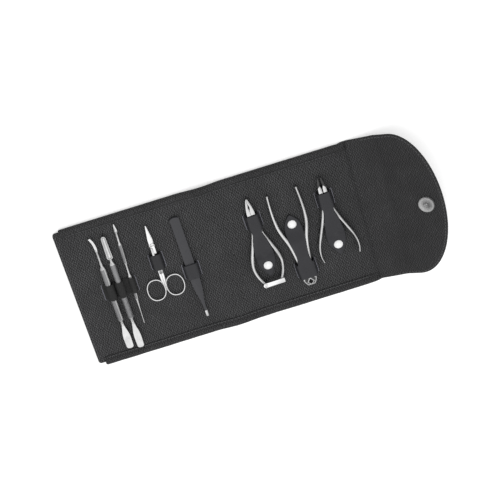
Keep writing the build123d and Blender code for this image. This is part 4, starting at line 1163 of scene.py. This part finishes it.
def scissors_finger_ring(letter, hand):
    """A finger ring of round wire with the tapered fork that carries it."""
    line = ring_line(hand)

    def into_wire(p):
        """The solid's own ring, drawn in until it hides inside the wire and the fork."""
        ahead, aside = p.y - SCISSORS_PIVOT_Y, abs(p.x - SCISSORS_X)
        if ahead < 37.5 or (ahead < 45.5 and aside < 2.35):
            return p
        near = min(line, key=lambda q: (q - p).length)
        return near + (p - near).normalized() * min(0.3, (p - near).length)

    dressed(f"scissors_half_{letter}", f"scissors_{letter}", SCISSOR_STEEL, shape=into_wire)
    curve = bpy.data.curves.new(f"ring_{letter}", "CURVE")
    curve.dimensions = "3D"
    curve.bevel_depth = RING_WIRE * MM
    curve.bevel_resolution = 3
    spline = curve.splines.new("POLY")
    spline.points.add(len(line) - 1)
    for point, place in zip(spline.points, line):
        point.co = (*(place * MM), 1.0)
    spline.use_cyclic_u = True
    wire = in_scene("wire", curve)
    bm = bmesh.new()
    depsgraph = bpy.context.evaluated_depsgraph_get()
    bm.from_mesh(bpy.data.meshes.new_from_object(wire.evaluated_get(depsgraph)))
    bpy.data.objects.remove(wire)
    bmesh.ops.scale(bm, vec=(1 / MM,) * 3, verts=bm.verts)
    fork = [
        [bm.verts.new((SCISSORS_X + hand * x, SCISSORS_PIVOT_Y + y, z)) for x, y in FORK]
        for z in FORK_HEIGHTS
    ]
    tube(bm, fork)
    bm.normal_update()
    eased(bm, list(dict.fromkeys(e for v in fork[0] + fork[1] for e in v.link_edges)), 0.3)
    made = obj_from(bm, f"scissors_ring_{letter}", SCISSOR_STEEL, smooth=40.0)
    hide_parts(f"scissors_half_{letter}")
    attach(made, f"scissors_{letter}")


scissors_finger_ring("a", 1)
scissors_finger_ring("b", -1)
dressed("scissors_screw", "scissors_a", SCISSOR_STEEL)

TIP_FROM = 57.3 - 6.5  # the arms' bare ends
for part, body in (("tweezers_lower_arm", "tweezers"), ("tweezers_upper_arm", "tweezers_upper")):
    dressed(
        part, body, COATING, TIP_STEEL, pick=lambda p, n: int(p.y > TIP_FROM),
        cuts=(((0, TIP_FROM, 0), (0, 1, 0)),), edge=0.15,
    )


def wound(x, z, lean):
    """Coordinates round a tool's own axis: the way round, then the way along."""
    slope = math.tan(math.radians(lean))

    def uv(p, middle):
        centre = x - p.y * slope
        a = math.atan2(p.z - z, p.x - centre)
        b = math.atan2(middle.z - z, middle.x - (x - middle.y * slope))
        a += math.tau * round((b - a) / math.tau)
        return (3.0 * a * MM, p.y * MM)

    return uv


# Knurled stretches along each tool, how far from its axis they start, and how it leans, in degrees
GRIPS = {
    "nail_probe": (((-47.0, -26.0), (-10.4, 15.5)), 1.75, -1.6),
    "cuticle_pusher": (((-29.3, 33.2),), 2.9, 0.0),
    "cuticle_scraper": (((-27.5, 32.6),), 2.9, 0.0),
}
SPOON_FROM = -41.0
for part, (grips, least, lean) in GRIPS.items():
    x, grip = TOOLS[part]

    def on_grip(p, n, x=x, grip=grip, grips=grips, least=least, slope=math.tan(math.radians(lean))):
        away = math.hypot(p.x - x + p.y * slope, p.z - PANEL - GAP - grip)
        return int(any(a - 0.2 < p.y < b + 0.2 for a, b in grips) and away > least)

    def spoon(p, x=x):
        if p.y > SPOON_FROM:
            return p
        share = 0.42 + 0.4 * ease((SPOON_FROM - p.y) / 14.0)
        return Vector((x + (p.x - x) * share, p.y, p.z))

    dressed(
        part, part, TOOL_STEEL, KNURLED, pick=on_grip, uv=wound(x, PANEL + GAP + grip, lean),
        shape=spoon if part == "cuticle_pusher" else None,
    )

# The magnet lies in the flap's own plane, which rises twice
tilt = math.radians(2 * RISE)
along = Vector((math.cos(tilt), 0.0, -math.sin(tilt)))
spots = [v.co.dot(along) / MM for v in NODES["magnet_cover"].data.vertices]
magnet_at = (min(spots) + max(spots)) / 2
for part in ("magnet_cover", "magnet_ring"):
    dressed(
        part, "flap", MAGNET, sharp=30.0,
        # a little smaller than the solid, about its own middle
        shape=lambda p: p + (magnet_at - p.dot(along)) * 0.1 * along - Vector((0, 0.08 * p.y, 0)),
        uv=lambda p, middle: ((p.dot(along) - magnet_at) * MM, p.y * MM),
    )

# ---------------------------------------------------------------- floor, light and camera
bpy.ops.mesh.primitive_plane_add(size=6.0)
floor = bpy.context.object
for corner in floor.data.vertices:
    corner.co.z = FLOOR * MM
floor.name = "floor"
material, tree, shader = new_material("floor_white")
settle(
    shader, Base_Color=(0.75, 0.75, 0.75, 1.0), Emission_Color=(1.0, 1.0, 1.0, 1.0),
    Roughness=0.9, Specular_IOR_Level=0.1,
)
seen = tree.nodes.new("ShaderNodeLightPath").outputs["Is Camera Ray"]
link(tree, maths(tree, "MULTIPLY", seen, 0.42), shader.inputs["Emission Strength"])
floor.data.materials.append(material)

world = bpy.data.worlds.new("studio")
bpy.context.scene.world = world
world.use_nodes = True
wt = world.node_tree
background = next(n for n in wt.nodes if n.type == "BACKGROUND")
background.inputs[0].default_value = (1.0, 1.0, 1.0, 1.0)
rays = wt.nodes.new("ShaderNodeLightPath")
seen = rays.outputs["Is Camera Ray"]
for kind in ("Is Glossy Ray", "Is Transmission Ray"):
    seen = maths(wt, "MAXIMUM", seen, rays.outputs[kind])
link(wt, maths(wt, "MULTIPLY_ADD", seen, 0.1, 0.9), background.inputs[1])


def lamp(name, where, size, power):
    data = bpy.data.lights.new(name, "AREA")
    data.energy = power
    data.shape = "RECTANGLE"
    data.size, data.size_y = size
    light = in_scene(name, data)
    light.location = where
    light.rotation_mode = "QUATERNION"
    light.rotation_quaternion = (Vector((0.01, 0.0, 0.0)) - Vector(where)).to_track_quat("-Z", "Y")


lamp("key", (0.5, 0.5, 1.7), (1.8, 1.8), 9.0)
lamp("fill", (-0.9, -0.7, 1.3), (1.6, 1.6), 4.0)

camera_data = bpy.data.cameras.new("camera")
camera = in_scene("camera", camera_data)
bpy.context.scene.camera = camera
camera_data.sensor_width = 36.0
camera_data.lens = 123.2
camera_data.clip_start = 0.05
DISTANCE = 1.711
ROLL_COS, ROLL_SIN = -0.955, 0.296
elevation = math.radians(62.0)
target = Vector((0.0081, 0.0048, 0.0))
back = Vector((0.0, -math.cos(elevation), math.sin(elevation)))
level = Vector((1.0, 0.0, 0.0))
upward = Vector((0.0, math.sin(elevation), math.cos(elevation)))
right = level * ROLL_COS + upward * ROLL_SIN
up = level * -ROLL_SIN + upward * ROLL_COS
matrix = Matrix((right, up, back)).transposed().to_4x4()
matrix.translation = target + back * DISTANCE
camera.matrix_world = matrix
bpy.context.scene.view_settings.view_transform = "Standard"
